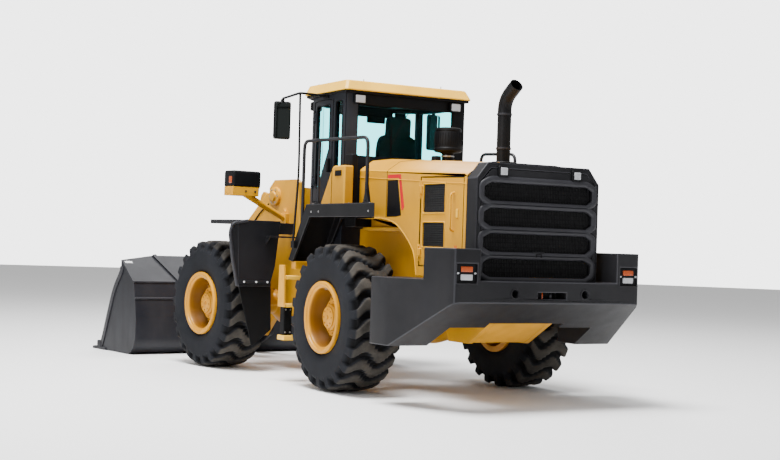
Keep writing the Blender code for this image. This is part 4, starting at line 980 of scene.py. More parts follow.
class Workshop:
    """Turns shapes into pieces that ride on the frame."""

    count = 0

    @staticmethod
    def object(name: str, mesh: bpy.types.Mesh, finish: Finish, shading: Shading) -> bpy.types.Object:
        """Puts a mesh in the scene with its finish.

        Args:
            name: the piece's.
            mesh: its mesh, in the frame's coordinates.
            finish: its finish.
            shading: how its faces are shaded.

        Returns:
            The object.
        """
        obj = bpy.data.objects.new(name, mesh)
        bpy.context.scene.collection.objects.link(obj)
        mesh.materials.clear()
        mesh.materials.append(finish.material())
        mesh.polygons.foreach_set("material_index", np.zeros(len(mesh.polygons), np.int32))
        smooth = np.full(len(mesh.polygons), shading is not Shading.FLAT)
        mesh.polygons.foreach_set("use_smooth", smooth)
        if shading is Shading.CREASED:
            mesh.set_sharp_from_angle(angle=math.radians(shading.value))
        Workshop.count += 1
        return obj

    @staticmethod
    def piece(
        name: str,
        shape: Surface,
        finish: Finish,
        body: str,
        replaces: Sequence[str] = (),
        shading: Shading = Shading.CREASED,
        place: Matrix | None = None,
        slot: str | None = None,
    ) -> bpy.types.Object:
        """Makes a new piece.

        Args:
            name: the piece's.
            shape: its surface.
            finish: its finish.
            body: the body it rides on.
            replaces: the CAD nodes it stands for.
            shading: how its faces are shaded.
            place: a matrix applied to the surface first.
            slot: the record's material slot; not used.

        Returns:
            The object.
        """
        if place is not None:
            shape = shape.moved(place)
        mesh = bpy.data.meshes.new(name)
        faces = [row for rows in shape.faces for row in rows.tolist()]
        mesh.from_pydata(shape.points.tolist(), [], faces)
        if shape.marks is not None:
            layer = mesh.attributes.new("mark", "FLOAT", "POINT")
            layer.data.foreach_set("value", shape.marks.astype(np.float32))
        work = bmesh.new()
        work.from_mesh(mesh)
        bmesh.ops.remove_doubles(work, verts=work.verts, dist=0.00001)
        bmesh.ops.recalc_face_normals(work, faces=work.faces)
        work.to_mesh(mesh)
        work.free()
        obj = Workshop.object(name, mesh, finish, shading)
        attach(obj, body)
        if replaces:
            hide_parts(*replaces)
        return obj

    @staticmethod
    def skin(
        node: str,
        finish: Finish,
        edge: float = 0.006,
        segments: int = 2,
        rim: Finish | None = None,
        upper: tuple[float, Finish] | None = None,
    ) -> bpy.types.Object:
        """A CAD node with its corners merged and its edges rounded.

        Args:
            node: the CAD node.
            finish: its finish.
            edge: the edges' radius.
            segments: faces across a rounded edge.
            rim: the finish of the rounded edges, by default the same; a lighter paint there is a painted highlight
                along the edges.
            upper: a height, and the finish of the faces above it.

        Returns:
            The object that stands for the node.
        """
        mesh = frame["nodes"][node].data.copy()
        work = bmesh.new()
        work.from_mesh(mesh)
        bmesh.ops.remove_doubles(work, verts=work.verts, dist=0.00002)
        work.to_mesh(mesh)
        work.free()
        stored = mesh.attributes.get("custom_normal")
        if stored:
            mesh.attributes.remove(stored)
        obj = Workshop.object(f"{node}_skin", mesh, finish, Shading.CREASED)
        if upper:
            mesh.materials.append(upper[1].material())
            middles = np.empty(len(mesh.polygons) * 3)
            mesh.polygons.foreach_get("center", middles)
            above = (middles.reshape(-1, 3)[:, 2] > upper[0]).astype(np.int32)
            mesh.polygons.foreach_set("material_index", above)
        if edge:
            bevel = obj.modifiers.new("edges", "BEVEL")
            bevel.width = edge
            bevel.segments = segments
            bevel.limit_method = "ANGLE"
            bevel.angle_limit = math.radians(32)
            bevel.use_clamp_overlap = False
            bevel.harden_normals = False
            # A lighter rim finish on the bevel faces paints a highlight along the edges.
            if rim:
                mesh.materials.append(rim.material())
                bevel.material = 1
        even = obj.modifiers.new("even", "WEIGHTED_NORMAL")
        even.weight, even.keep_sharp = 100, True
        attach(obj, BODY_OF[node])
        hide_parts(node)
        return obj


    @staticmethod
    def repaint(node: str, finish: Finish) -> None:
        """Gives a CAD node that keeps its shape a better material.

        Args:
            node: the CAD node.
            finish: its finish.
        """
        slots = frame["nodes"][node].material_slots
        for slot in slots:
            slot.link = "OBJECT"
            slot.material = finish.material()


# ---------------------------------------------------------------- wheels


@dataclass
class Wheel:
    """A tyre with worn lugs on a dished rim with its nuts and hub cover."""

    end: str
    side: Side
    radius: float = 0.80
    half: float = 0.30
    lugs: int = 22
    depth: float = 0.052
    around: int = 572
    bead: float = 0.3455
    bolt_circle: float = 0.172
    flats: dict[str, float] = field(default_factory=lambda: {"nut": 0.017, "cover": 0.010})

    @property
    def body(self) -> str:
        """The body that turns."""
        return f"wheel_{self.end}_{self.side.label}"

    def place(self) -> Matrix:
        """The wheel's own axes: Z outboard along the axle."""
        joint = next(j for j in frame["record"]["behaviour"]["joints"] if j["child"] == self.body)
        outboard = Vector(joint["axis"]) * self.side.value
        return pointing(joint["pos_m"], outboard)

    def wall(self) -> Array:
        """The tyre's section as (radius, height) points from the outer bead over the crown and back."""
        h = self.half
        side = [
            (self.bead, 0.70 * h),
            (self.bead, 0.835 * h),
            (0.405, 0.865 * h),
            (0.43, 0.93 * h),
            (0.52, 0.99 * h),
            (0.62, 1.00 * h),
            (0.70, 0.975 * h),
            (0.752, 0.93 * h),
            (0.785, 0.80 * h),
            (0.796, 0.52 * h),
        ]
        ring = side + [(self.radius, 0.0)] + [(r, -z) for r, z in reversed(side)]
        return smooth_curve(np.array(ring), 4)

    def tyre(self) -> Surface:
        """The tyre's surface.

        The section (r, z) turns about the axle. Each point sinks along the section's normal by the groove
        depth times a mask. The mask is a smooth pulse of the lug phase: lugs times the angle over a full
        turn, plus a wave in z that makes each groove snake across the crown.
        """
        section = self.wall()
        slope = np.gradient(section, axis=0)
        normal = np.stack([slope[:, 1], -slope[:, 0]], 1)
        normal /= np.linalg.norm(normal, axis=1)[:, None] + 1e-9
        normal *= np.where(normal[:, :1] * (section[:, :1] - 0.55) + normal[:, 1:] * section[:, 1:] < 0, -1, 1)
        angle = np.linspace(0, 2 * np.pi, self.around, endpoint=False)[:, None]
        r, z = section[:, 0][None], section[:, 1][None] / self.half
        wave = 0.30 * np.sin(np.pi * 1.55 * z * self.side.value + 0.4) + 0.12 * np.abs(z) * self.side.value
        phase = (angle * self.lugs / (2 * np.pi) + wave) % 1.0
        width = 0.17 + 0.11 * np.abs(z) ** 2.2
        distance = np.abs(phase - 0.5)
        ramp = np.clip((width - distance) / 0.07 + 0.5, 0, 1)
        groove = ramp * ramp * (3 - 2 * ramp)
        reach = np.clip((r - 0.665) / 0.05, 0, 1) * np.clip((np.abs(section[:, 0]) - 0.60) / 0.05, 0, 1)[None]
        sunk = self.depth * groove * reach
        ribs = 0.0022 * np.sin((r - 0.42) * 2 * np.pi / 0.05) * (r < 0.66) * (r > 0.44)
        moved_r = r + normal[:, 0][None] * (ribs - sunk)
        moved_z = section[:, 1][None] + normal[:, 1][None] * (ribs - sunk)
        moved_r = np.minimum(moved_r, self.radius)
        points = np.stack([moved_r * np.cos(angle), moved_r * np.sin(angle), moved_z + 0 * angle], -1)
        crown = np.clip((r - 0.755) / 0.02, 0, 1) * np.clip(1.02 - 0.25 * np.abs(z), 0, 1)
        # Marks fall to 0 in the grooves, where the rubber paints shade, and rise on the worn lug tops.
        marks = 0.5 + 0.5 * (1 - groove) * crown - 0.5 * groove * reach
        faces = lattice(self.around, len(section), True, True)
        return Surface(points.reshape(-1, 3), [faces], (marks + 0 * angle).reshape(-1))

    def rim_profile(self) -> list[tuple[float, float]]:
        """The rim and hub from the cover's middle out to the flange, across the bead seat and back."""
        flange = 0.86 * self.half + 0.004
        lip = flange + 0.045
        outer = [(0, 0.214), (0.110, 0.214), (0.118, 0.210), (0.121, 0.198), (0.140, 0.186), (0.146, 0.158)]
        outer += [(0.150, 0.149), (0.196, 0.145), (0.203, 0.139), (0.206, 0.098), (0.212, 0.088), (0.262, 0.086)]
        outer += [(0.274, 0.092), (0.300, 0.165), (0.312, 0.205), (0.318, lip - 0.05), (0.326, lip - 0.03)]
        outer += [(0.345, lip - 0.022), (0.352, lip - 0.006), (0.362, lip), (0.386, lip - 0.003), (0.393, lip - 0.012)]
        seat = [(0.394, flange + 0.002), (0.388, flange), (0.344, flange), (0.344, -flange), (0.394, -flange)]
        inner = [(0.394, 0.012 - lip), (0.330, -lip), (0.322, 0.03 - lip), (0.300, 0.022), (0, 0.0215)]
        return outer + seat + inner

    def nuts(self) -> Surface:
        """Wheel nuts on the disc, cover bolts on the hub, and the breather in the middle."""
        nut = hexagon_bolt(self.flats["nut"], 0.022)
        bolt = hexagon_bolt(self.flats["cover"], 0.010)
        groups = []
        for shape, radius, height, count in (
            (nut, 0.237, 0.086, 20), (bolt, self.bolt_circle, 0.147, 12), (bolt, 0.088, 0.2135, 8)
        ):
            turns = np.linspace(0, 2 * np.pi, count, endpoint=False)
            places = [
                Matrix.Translation((radius * math.cos(a), radius * math.sin(a), height)) @ Matrix.Rotation(a, 4, "Z")
                for a in turns
            ]
            groups.append(shape.repeated(places))
        groups.append(turned([(0, 0.228), (0.018, 0.227), (0.022, 0.222), (0.023, 0.213), (0, 0.213)], 24))
        return Surface.joined(groups)

    def build(self) -> None:
        """Makes the wheel's pieces."""
        place, name = self.place(), f"{self.end}_{self.side.label}"
        Workshop.piece(f"tread_{name}", self.tyre(), TYRE, self.body, [f"tyre_{name}"], Shading.SMOOTH, place)
        rim = turned(self.rim_profile(), 96)
        out, up = np.hypot(rim.points[:, 0], rim.points[:, 1]), rim.points[:, 2]
        # The dish's marks turn the rim coat to painted shade there.
        dish = np.clip((0.325 - out) / 0.008, 0, 1) * np.clip((out - 0.200) / 0.006, 0, 1) * (up < self.half)
        rim = Surface(rim.points, rim.faces, dish)
        Workshop.piece(f"dish_{name}", rim, RIM_YELLOW, self.body, [f"rim_{name}"], Shading.CREASED, place)
        Workshop.piece(f"nuts_{name}", self.nuts(), HUB_YELLOW, self.body, (), Shading.CREASED, place, "yellow_paint")
        valve = rod([(0.285, 0.03, 0.15), (0.30, 0.035, 0.20), (0.31, 0.04, 0.235)], 0.005, 0.02, 8)
        Workshop.piece(f"valve_{name}", valve, ZINC, self.body, (), Shading.SMOOTH, place, "plain_iron")
        LOG.info("wheel %s", name)


# ---------------------------------------------------------------- assemblies


class Group(Enum):
    """The two halves of the machine, which meet at the hitch."""

    REAR = "rear_frame"
    FRONT = "front_frame"

    def place(self) -> Matrix:
        """Where the half's own coordinates lie."""
        return DATUM.rear() if self is Group.REAR else DATUM.front()


class Axis(Enum):
    """Which way a flat shape's own Z is turned, by the order of its coordinates."""

    X = (2, 0, 1)
    Y = (0, 2, 1)
    Z = (0, 1, 2)


@dataclass
class Assembly:
    """Pieces of one half of the machine, in the straight machine's coordinates."""

    group: Group = Group.REAR
    body: str = "rear_frame"

    def add(self, name: str, shape: Surface, finish: Finish, **options: Any) -> bpy.types.Object:
        """Adds a piece to the assembly's body.

        Args:
            name: the piece's.
            shape: its surface, in the machine's coordinates.
            finish: its finish.
            options: anything else that Workshop.piece takes.

        Returns:
            The object.
        """
        body = options.pop("body", self.body)
        place = self.group.place() @ options.pop("place", Matrix())
        options.setdefault("slot", "black_paint")
        return Workshop.piece(name, shape, finish, body, place=place, **options)

    @staticmethod
    def slab(outline: Sequence[Vec], near: float, far: float, axis: Axis, edge: float = 0.003) -> Surface:
        """A plate whose thickness runs along an axis.

        Args:
            outline: corners in the other two axes, in order.
            near: where it starts on the axis.
            far: where it ends.
            axis: the axis.
            edge: the chamfer.

        Returns:
            The plate.
        """
        shape = plate(outline, near, far, edge)
        return Surface(shape.points[:, list(axis.value)], shape.faces)

    @staticmethod
    def mirrored(shape: Surface, side: Side) -> Surface:
        """The shape with X multiplied by the side's sign."""
        return Surface(shape.points * (side.value, 1, 1), shape.faces, shape.marks)

    @staticmethod
    def bolts(points: Sequence[Vec], direction: Vec, size: float = 0.012, height: float = 0.008) -> Surface:
        """Bolt heads standing on these points.

        Args:
            points: where they stand.
            direction: the way they stand out.
            size: half a head's width.
            height: a head's height.

        Returns:
            All the heads together.
        """
        return hexagon_bolt(size, height).repeated([pointing(point, direction) for point in points])


@dataclass
class Chassis(Assembly):
    """Frames, axles and engine: castings with softened edges, and their pins."""

    def build(self) -> None:
        """Dresses the CAD castings and adds pin covers, bolts and a guard."""
        for node in ("rear_frame", "front_frame"):
            Workshop.skin(node, YELLOW, 0.005)
        for node in ("rear_axle", "front_axle"):
            Workshop.skin(node, YELLOW, 0.004)
        Workshop.skin("engine_block", CASTING, 0.02)
        self.axle_details()
        self.hitch()
        self.belly()

    def axle_details(self) -> None:
        """Bolt circles on both differentials."""
        turns = np.linspace(0, 2 * np.pi, 12, endpoint=False)
        for group, y in ((Group.REAR, -1.6), (Group.FRONT, 1.6)):
            ring = [(0.062, y + 0.265 * math.cos(a), 0.80 + 0.265 * math.sin(a)) for a in turns]
            shape = self.bolts(ring, (1, 0, 0), 0.014, 0.012)
            Workshop.piece(
                f"carrier_bolts_{group.name.lower()}", shape, ZINC, group.value, place=group.place(), slot="plain_iron"
            )

    def hitch(self) -> None:
        """Covers over the two hitch pins."""
        for name, z, way in (("upper", 1.262, 1), ("lower", 0.638, -1)):
            cap = turned(
                [(0, 0), (0.085, 0), (0.085, 0.012), (0.078, 0.018), (0.05, 0.02), (0.045, 0.026), (0, 0.026)], 32
            )
            self.add(f"hitch_cap_{name}", cap, YELLOW, place=pointing((0, 0, z), (0, 0, way)), slot="yellow_paint")

    def belly(self) -> None:
        """A flat guard under the engine."""
        guard = self.slab([(-0.31, -2.78), (0.31, -2.78), (0.31, -2.12), (-0.31, -2.12)], 1.002, 1.012, Axis.Z)
        self.add("belly_guard", guard, YELLOW, slot="yellow_paint")


@dataclass
class Counterweight(Assembly):
    """The cast weight with its lamps and tie-down holes."""

    rear: float = -3.80
    lamp: tuple[float, float, float, float] = (0.890, 1.100, 1.268, 1.444)

    def build(self) -> None:
        """Dresses the casting and fills its lamp recesses."""
        Workshop.skin("counterweight", SLATE, 0.010, 3, SLATE_HIGHLIGHT)
        for side in Side:
            self.lamps(side)
        for x in (-0.43, 0.43):
            collar = turned([(0.042, 0), (0.054, 0), (0.054, 0.006), (0.048, 0.010), (0.042, 0.008)], 32)
            where = pointing((x, self.rear + 0.001, 1.165), (0, -1, 0))
            self.add(f"tie_down_{'left' if x < 0 else 'right'}", collar, SLATE, place=where, slot="grey_paint")
        pin = rod([(-0.085, -3.775, 1.080), (-0.085, -3.775, 1.205)], 0.006, 0.01, 12)
        # The pin is no lamp: the amber finish's faint glow on it is painted light.
        self.add("tow_pin", pin, AMBER, slot="yellow_paint", shading=Shading.SMOOTH)
        bar = rod([(0.03, -3.755, 1.116), (0.03, -3.755, 1.179)], 0.016, 0.01, 16)
        self.add("tow_bar", bar, CASTING, slot="plain_iron", shading=Shading.SMOOTH)

    def lamps(self, side: Side) -> None:
        """One side's lamp group: a black cup, an amber lens over a clear one, and two screws.

        Args:
            side: which side.
        """
        near, far, low, high = self.lamp
        middle = (low + high) / 2
        y = self.rear
        cup = pillow_block((near - 0.008, y + 0.020, low - 0.006), (far + 0.008, y + 0.029, high + 0.004), 0.003)
        amber = pillow_block((near + 0.038, y + 0.006, middle + 0.012), (far - 0.038, y + 0.024, high - 0.022), 0.010)
        clear = pillow_block((near + 0.038, y + 0.006, low + 0.020), (far - 0.038, y + 0.024, middle - 0.010), 0.010)
        # The screws get the clear lens finish, whose faint glow on them is painted light.
        screws = self.bolts(
            [(near + 0.006, y + 0.02, middle), (far - 0.006, y + 0.02, middle)], (0, -1, 0), 0.009, 0.016
        )
        for name, shape, finish in (
            ("cup", cup, PLASTIC),
            ("indicator", amber, AMBER),
            ("reversing", clear, CLEAR),
            ("screws", screws, CLEAR),
        ):
            self.add(f"tail_{name}_{side.label}", self.mirrored(shape, side), finish)
        path = bent([(near - 0.012, y - 0.002, low - 0.012), (far + 0.012, y - 0.002, low - 0.012)], 0.01)
        lip = swept(path, round_section(0.006, 10))
        self.add(f"tail_lip_{side.label}", self.mirrored(lip, side), SLATE, slot="grey_paint")


@dataclass
class Hood(Assembly):
    """The engine hood, its doors, seams, stripes and the cabinet on the deck."""

    half: float = 0.75
    front: float = -1.14
    rear: float = -3.38
    crease: float = 2.47
    top: float = 2.60
    drop: float = 0.055
    seam: float = -1.77
    line: float = 1.90

    def build(self) -> None:
        """Dresses the hood and its doors and adds what lies on them."""
        Workshop.skin("hood", YELLOW, 0.012, 3, YELLOW_HIGHLIGHT)
        for side in Side:
            Workshop.skin(f"engine_door_{side.label}", YELLOW, 0.004, 2, YELLOW_HIGHLIGHT)
            self.door(side)
            self.stripe(side)
            self.arch(side)
        Workshop.skin("tool_cabinet", YELLOW, 0.008, 3, YELLOW_HIGHLIGHT)
        self.cabinet()
        self.seams()
        self.roof_fittings()

    def section(self, y: float, lift: float = 0.0) -> Array:
        """The hood's outline across the machine at one station.

        The points are those of the pressed sheet's cross-section; those above 2 m fall with the distance
        behind the front edge times the drop.

        Args:
            y: the station.
            lift: how far outside the sheet the outline lies.

        Returns:
            An (n, 3) array from the left foot over the roof to the right foot.
        """
        fall = self.drop * (self.front - y)
        right = [(self.half, 1.91), (self.half, self.crease - 0.02 - fall), (self.half - 0.02, self.crease - fall)]
        right += [(self.half - 0.16, self.top - 0.036 - fall), (self.half - 0.41, self.top - fall)]
        outer = np.array([(x + lift, y, z + lift * (k > 1)) for k, (x, z) in enumerate(right)])
        return np.concatenate([outer * (-1, 1, 1), outer[::-1]])

    def seams(self) -> None:
        """Dark joints between the hood's sheets, and the pressed line below the shoulder."""
        for number, y in enumerate((self.seam, self.rear + 0.004)):
            strip = swept(self.section(y, -0.001), round_section(0.0045, 8))
            self.add(f"hood_joint_{number}", strip, FLAP)
        for side in Side:
            ys = np.linspace(self.front - 0.01, self.rear + 0.01, 40)
            z = self.crease - 0.105 - self.drop * (self.front - ys)
            path = np.stack([np.full(40, self.half - 0.001), ys, z], 1)
            line = swept(path, round_section(0.007, 8) * (0.6, 1.0))
            # The pressed line's lighter yellow is a painted highlight.
            self.add(f"hood_press_{side.label}", self.mirrored(line, side), YELLOW_HIGHLIGHT, slot="yellow_paint")

    def arch(self, side: Side) -> None:
        """The rolled lip of the wheel arch, the liner above the inner plate and the plate's front skirt.

        Args:
            side: which side.
        """
        curve = [(-1.20, self.line), (-1.72, self.line), (-1.98, self.line - 0.05), (-2.20, self.line - 0.19)]
        curve += [(-2.38, 1.55), (-2.44, 1.30)]
        lip = rod([(self.half - 0.006, y, z) for y, z in curve], 0.010, 0.12, 10)
        # The lip's lighter yellow is a painted highlight along the arch.
        self.add(f"arch_lip_{side.label}", self.mirrored(lip, side), YELLOW_HIGHLIGHT, slot="yellow_paint")
        liner = [(-1.10, 1.802), (-1.10, self.line + 0.03), (-1.72, self.line + 0.03), (-1.98, self.line - 0.02)]
        liner += [(-2.20, self.line - 0.16), (-2.24, 1.802)]
        shape = self.slab(liner, 0.655, 0.667, Axis.X, 0.002)
        self.add(f"arch_liner_{side.label}", self.mirrored(shape, side), YELLOW, slot="yellow_paint")
        skirt = [(-1.002, 1.16), (-0.60, 1.16), (-0.74, 1.76), (-1.002, 1.798)]
        shape = self.slab(skirt, 0.560, 0.572, Axis.X, 0.002)
        self.add(f"arch_skirt_{side.label}", self.mirrored(shape, side), YELLOW, slot="yellow_paint", body="rear_frame")

    def stripe(self, side: Side) -> None:
        """The blank black panel with its red edge."""
        black = [(-1.785, 2.315), (-2.005, 2.315), (-2.095, 1.93), (-1.985, 1.915), (-1.785, 1.915)]
        red = [
            (-1.785, 2.335),
            (-1.785, 2.375),
            (-2.065, 2.375),
            (-2.155, 2.02),
            (-2.125, 1.985),
            (-2.10, 1.985),
            (-2.027, 2.335),
        ]
        for name, outline, finish, out in (("black", black, DECAL_BLACK, 0.0012), ("red", red, DECAL_RED, 0.0014)):
            shape = self.slab(outline, self.half - 0.001, self.half + out, Axis.X, 0.0004)
            self.add(f"stripe_{name}_{side.label}", self.mirrored(shape, side), finish)

    def door(self, side: Side) -> None:
        """Grille screens with a raised bead round each, a latch and the door's joint."""
        body = f"engine_door_{side.label}"
        for number, (low, high) in enumerate(((1.60, 1.853), (1.956, 2.252))):
            # The screen's dark between its wires is painted shade.
            screen = self.slab(
                [(-2.968, low + 0.002), (-2.552, low + 0.002), (-2.552, high - 0.002), (-2.968, high - 0.002)],
                self.half - 0.0119,
                self.half - 0.009,
                Axis.X,
                0.0005,
            )
            self.add(f"door_screen_{side.label}_{number}", self.mirrored(screen, side), SCREEN, body=body)
            slats = [
                pillow_block((self.half - 0.010, -2.966, z), (self.half - 0.003, -2.554, z + 0.006), 0.002, 2)
                for z in np.arange(low + 0.02, high - 0.015, 0.0235)
            ]
            self.add(
                f"door_slats_{side.label}_{number}", self.mirrored(Surface.joined(slats), side), PLASTIC, body=body
            )
            corners = np.array(
                [(-2.975, low - 0.006), (-2.545, low - 0.006), (-2.545, high + 0.006), (-2.975, high + 0.006)]
            )
            ring = bent([*corners, corners[0]], 0.02, 5)
            path = np.column_stack([np.full(len(ring), self.half + 0.001), ring])[:-1]
            bead = swept(path, round_section(0.007, 8), True)
            # The bead's lighter yellow is a painted highlight along it.
            self.add(
                f"door_bead_{side.label}_{number}",
                self.mirrored(bead, side),
                YELLOW_HIGHLIGHT,
                slot="yellow_paint",
                body=body,
            )
        latch = pillow_block((self.half - 0.002, -3.225, 1.90), (self.half + 0.010, -3.185, 1.99), 0.006)
        self.add(f"door_latch_{side.label}", self.mirrored(latch, side), CREAM, slot="cream_paint", body=body)
        mark = pillow_block((self.half - 0.002, -3.215, 1.56), (self.half + 0.003, -3.165, 1.62), 0.002)
        # The red marker is no lamp: its faint glow is painted light.
        self.add(f"door_marker_{side.label}", self.mirrored(mark, side), REFLECTOR, body=body)
        outline = [(-2.488, 1.398), (-2.488, 2.332), (-3.312, 2.314), (-3.312, 1.398)]
        path = np.array([(self.half - 0.0015, y, z) for y, z in outline])
        for number, (a, b) in enumerate(zip(path, np.roll(path, -1, 0))):
            joint = rod([a, b], 0.0035, 0.001, 6)
            self.add(f"door_joint_{side.label}_{number}", self.mirrored(joint, side), FLAP)

    def cabinet(self) -> None:
        """The cabinet's latch, its door line, and the dark column behind it."""
        latch = pillow_block((-1.009, -1.17, 2.37), (-0.996, -1.02, 2.435), 0.006)
        self.add("cabinet_latch", latch, PLASTIC)
        handle = rod(
            [(-1.006, -1.14, 2.40), (-1.022, -1.13, 2.40), (-1.022, -1.06, 2.40), (-1.006, -1.05, 2.40)],
            0.006,
            0.01,
            8,
        )
        self.add("cabinet_handle", handle, PLASTIC)
        seam = rod([(-1.0005, -0.94, 2.06), (-1.0005, -0.94, 2.45)], 0.0035, 0.01, 6)
        self.add("cabinet_joint", seam, FLAP)
        column = pillow_block((-0.872, -1.16, 2.045), (-0.782, -0.98, 2.63), 0.022)
        self.add("cable_column", column, PLASTIC)

    def roof_fittings(self) -> None:
        """A collar round the stack, and the filler cap."""
        z = self.top - self.drop * (self.front + 2.90)
        collar = turned(
            [(0.088, -0.02), (0.125, -0.02), (0.125, 0.010), (0.118, 0.016), (0.095, 0.018), (0.088, 0.012)], 40
        )
        self.add("stack_collar", collar, BLACK, place=Matrix.Translation((0, -2.90, z)))
        cap = turned(
            [(0, 0.05), (0.045, 0.048), (0.052, 0.04), (0.055, 0.0), (0.07, -0.002), (0.07, -0.02), (0, -0.02)], 32
        )
        place = Matrix.Translation((-0.30, -2.05, self.top - self.drop * (self.front + 2.05)))
        self.add("filler_cap", cap, PLASTIC, place=place)


@dataclass
class Cowl(Assembly):
    """The dark rear housing and the grille door in it."""

    face: float = -3.564
    floor: float = -3.517
    first: float = 2.17
    pitch: float = 0.253
    inner: float = 0.60
    tip: float = 0.67

    def build(self) -> None:
        """Dresses the housing and the door, and adds ribs, bars, lamps and the latch."""
        Workshop.skin("rear_cowl", SLATE, 0.010, 3, SLATE_HIGHLIGHT)
        Workshop.skin("grille_door", SLATE, 0.003, 2)
        self.grille()
        self.lamps()
        self.latch()

    def hexagon(self, middle: float, grow: float) -> Array:
        """One opening's outline in X and Z, grown evenly."""
        half, lip = 0.09 + grow, 0.05 + grow * 0.5
        right = [(self.inner, middle - half), (self.tip + grow, middle - lip)]
        right += [(self.tip + grow, middle + lip), (self.inner, middle + half)]
        return np.array(right + [(-x, z) for x, z in reversed(right)])

    def grille(self) -> None:
        """A rounded rib round each opening, and upright wires over a dark screen in it."""
        for number in range(4):
            middle = self.first - number * self.pitch
            ring = self.hexagon(middle, 0.0325)
            path = bent([*ring, ring[0]], 0.03, 5)[:-1]
            path = np.column_stack([path[:, 0], np.full(len(path), self.face + 0.001), path[:, 1]])
            rib = swept(path, round_section(0.033, 14) * (1.0, 0.62), True)
            # The rib's lighter slate is a painted highlight.
            self.add(f"grille_rib_{number}", rib, SLATE_HIGHLIGHT, body="grille_door", slot="grey_paint")
            # The screen's dark between its wires is painted shade.
            screen = self.slab(self.hexagon(middle, -0.002), self.floor - 0.0002, self.floor - 0.003, Axis.Y, 0.0005)
            self.add(f"grille_screen_{number}", screen, SCREEN, body="grille_door")
            wires = []
            for x in np.arange(-0.64, 0.641, 0.02):
                reach = 0.086 - max(0.0, abs(x) - self.inner) * 0.55
                wires.append(Matrix.Translation((x, self.floor - 0.020, middle)) @ Matrix.Diagonal((1, 1, reach, 1)))
            bar = swept(np.array([(0, 0, -1), (0, 0, 1)]), round_section(0.0045, 6))
            self.add(f"grille_wires_{number}", bar.repeated(wires), BLACK, body="grille_door")
            rungs = [
                rod([(-0.63, self.floor - 0.014, middle + z), (0.63, self.floor - 0.014, middle + z)], 0.004, 0.01, 6)
                for z in (-0.045, 0, 0.045)
            ]
            self.add(f"grille_rungs_{number}", Surface.joined(rungs), BLACK, body="grille_door")

    def lamps(self) -> None:
        """Two work lamps in the housing's top corners."""
        for side in Side:
            cup = pillow_block((0.395, -3.590, 2.318), (0.520, -3.545, 2.428), 0.014)
            lens = pillow_block((0.416, -3.596, 2.336), (0.499, -3.580, 2.410), 0.010)
            self.add(f"cowl_lamp_{side.label}", self.mirrored(cup, side), PLASTIC)
            self.add(f"cowl_lens_{side.label}", self.mirrored(lens, side), CLEAR)

    def latch(self) -> None:
        """The grille's latch plate and handle."""
        plate_shape = pillow_block((-0.075, self.face - 0.010, 1.505), (0.075, self.face + 0.002, 1.585), 0.006)
        self.add("grille_latch", plate_shape, SLATE, body="grille_door", slot="grey_paint")
        handle = rod(
            [
                (-0.03, self.face - 0.006, 1.53),
                (-0.03, self.face - 0.024, 1.53),
                (-0.03, self.face - 0.024, 1.56),
                (0.03, self.face - 0.024, 1.56),
                (0.03, self.face - 0.024, 1.53),
                (0.03, self.face - 0.006, 1.53),
            ],
            0.006,
            0.008,
            8,
        )
        self.add("grille_handle", handle, PLASTIC, body="grille_door")


@dataclass
class Breathers(Assembly):
    """The exhaust stack and the air precleaner."""

    stack: tuple[float, float] = (0.0, -2.90)
    radius: float = 0.073

    def build(self) -> None:
        """Makes the pipe, its clamps and the intake drum."""
        self.add("stack_pipe", self.pipe(), BLACK, replaces=["exhaust_stack"], shading=Shading.CREASED)
        for z in (2.66, 3.02):
            band = turned([(0.0735, -0.012), (0.079, -0.012), (0.081, 0.0), (0.079, 0.012), (0.0735, 0.012)], 40)
            self.add(
                f"stack_band_{round(z * 100)}",
                band,
                CASTING,
                place=Matrix.Translation((*self.stack, z)),
                slot="plain_iron",
            )
        drum = [(0, 3.0), (0.105, 3.0), (0.138, 2.996), (0.152, 2.985), (0.157, 2.965), (0.150, 2.958), (0.155, 2.95)]
        drum += [(0.160, 2.80), (0.161, 2.765), (0.167, 2.757), (0.168, 2.742), (0.167, 2.728), (0.150, 2.714)]
        drum += [(0.082, 2.702), (0.070, 2.690), (0.068, 2.45), (0, 2.45)]
        place = Matrix.Translation((0.35, -1.26, 0))
        self.add("intake_drum", turned(drum, 64), PLASTIC, replaces=["air_precleaner"], place=place)
        fins = [
            Matrix.Rotation(a, 4, "Z") @ Matrix.Translation((0.1585, 0, 2.865))
            for a in np.linspace(0, 2 * np.pi, 32, endpoint=False)
        ]
        fin = pillow_block((-0.004, -0.003, -0.08), (0.004, 0.003, 0.08), 0.002, 2)
        self.add("intake_fins", fin.repeated(fins), PLASTIC, place=place)
        clamp = turned([(0.069, 2.655), (0.076, 2.657), (0.078, 2.665), (0.076, 2.673), (0.069, 2.675)], 40)
        self.add("intake_clamp", clamp, ZINC, place=place, slot="plain_iron")

    def pipe(self) -> Surface:
        """The stack: an outer wall up the path and an inner wall back down it.

        At each path point both rings are radius times (cos a along X, sin a along the path's own upright).

        Returns:
            The hollow pipe.
        """
        x, y = self.stack
        path = bent([(x, y, 2.40), (x, y, 3.17), (x, y - 0.205, 3.315)], 0.14, 14)
        along = np.gradient(path, axis=0)
        along /= np.linalg.norm(along, axis=1)[:, None]
        side = np.array([1.0, 0.0, 0.0])
        upright_way = np.cross(along, side)
        angle = np.linspace(0, 2 * np.pi, 40, endpoint=False)
        ring = np.cos(angle)[None, :, None] * side + np.sin(angle)[None, :, None] * upright_way[:, None]
        outer = path[:, None] + self.radius * ring
        inner = (path[:, None] + (self.radius - 0.006) * ring)[::-1]
        points = np.concatenate([outer, inner])
        return Surface(points.reshape(-1, 3), [lattice(len(points), 40, True, True)])


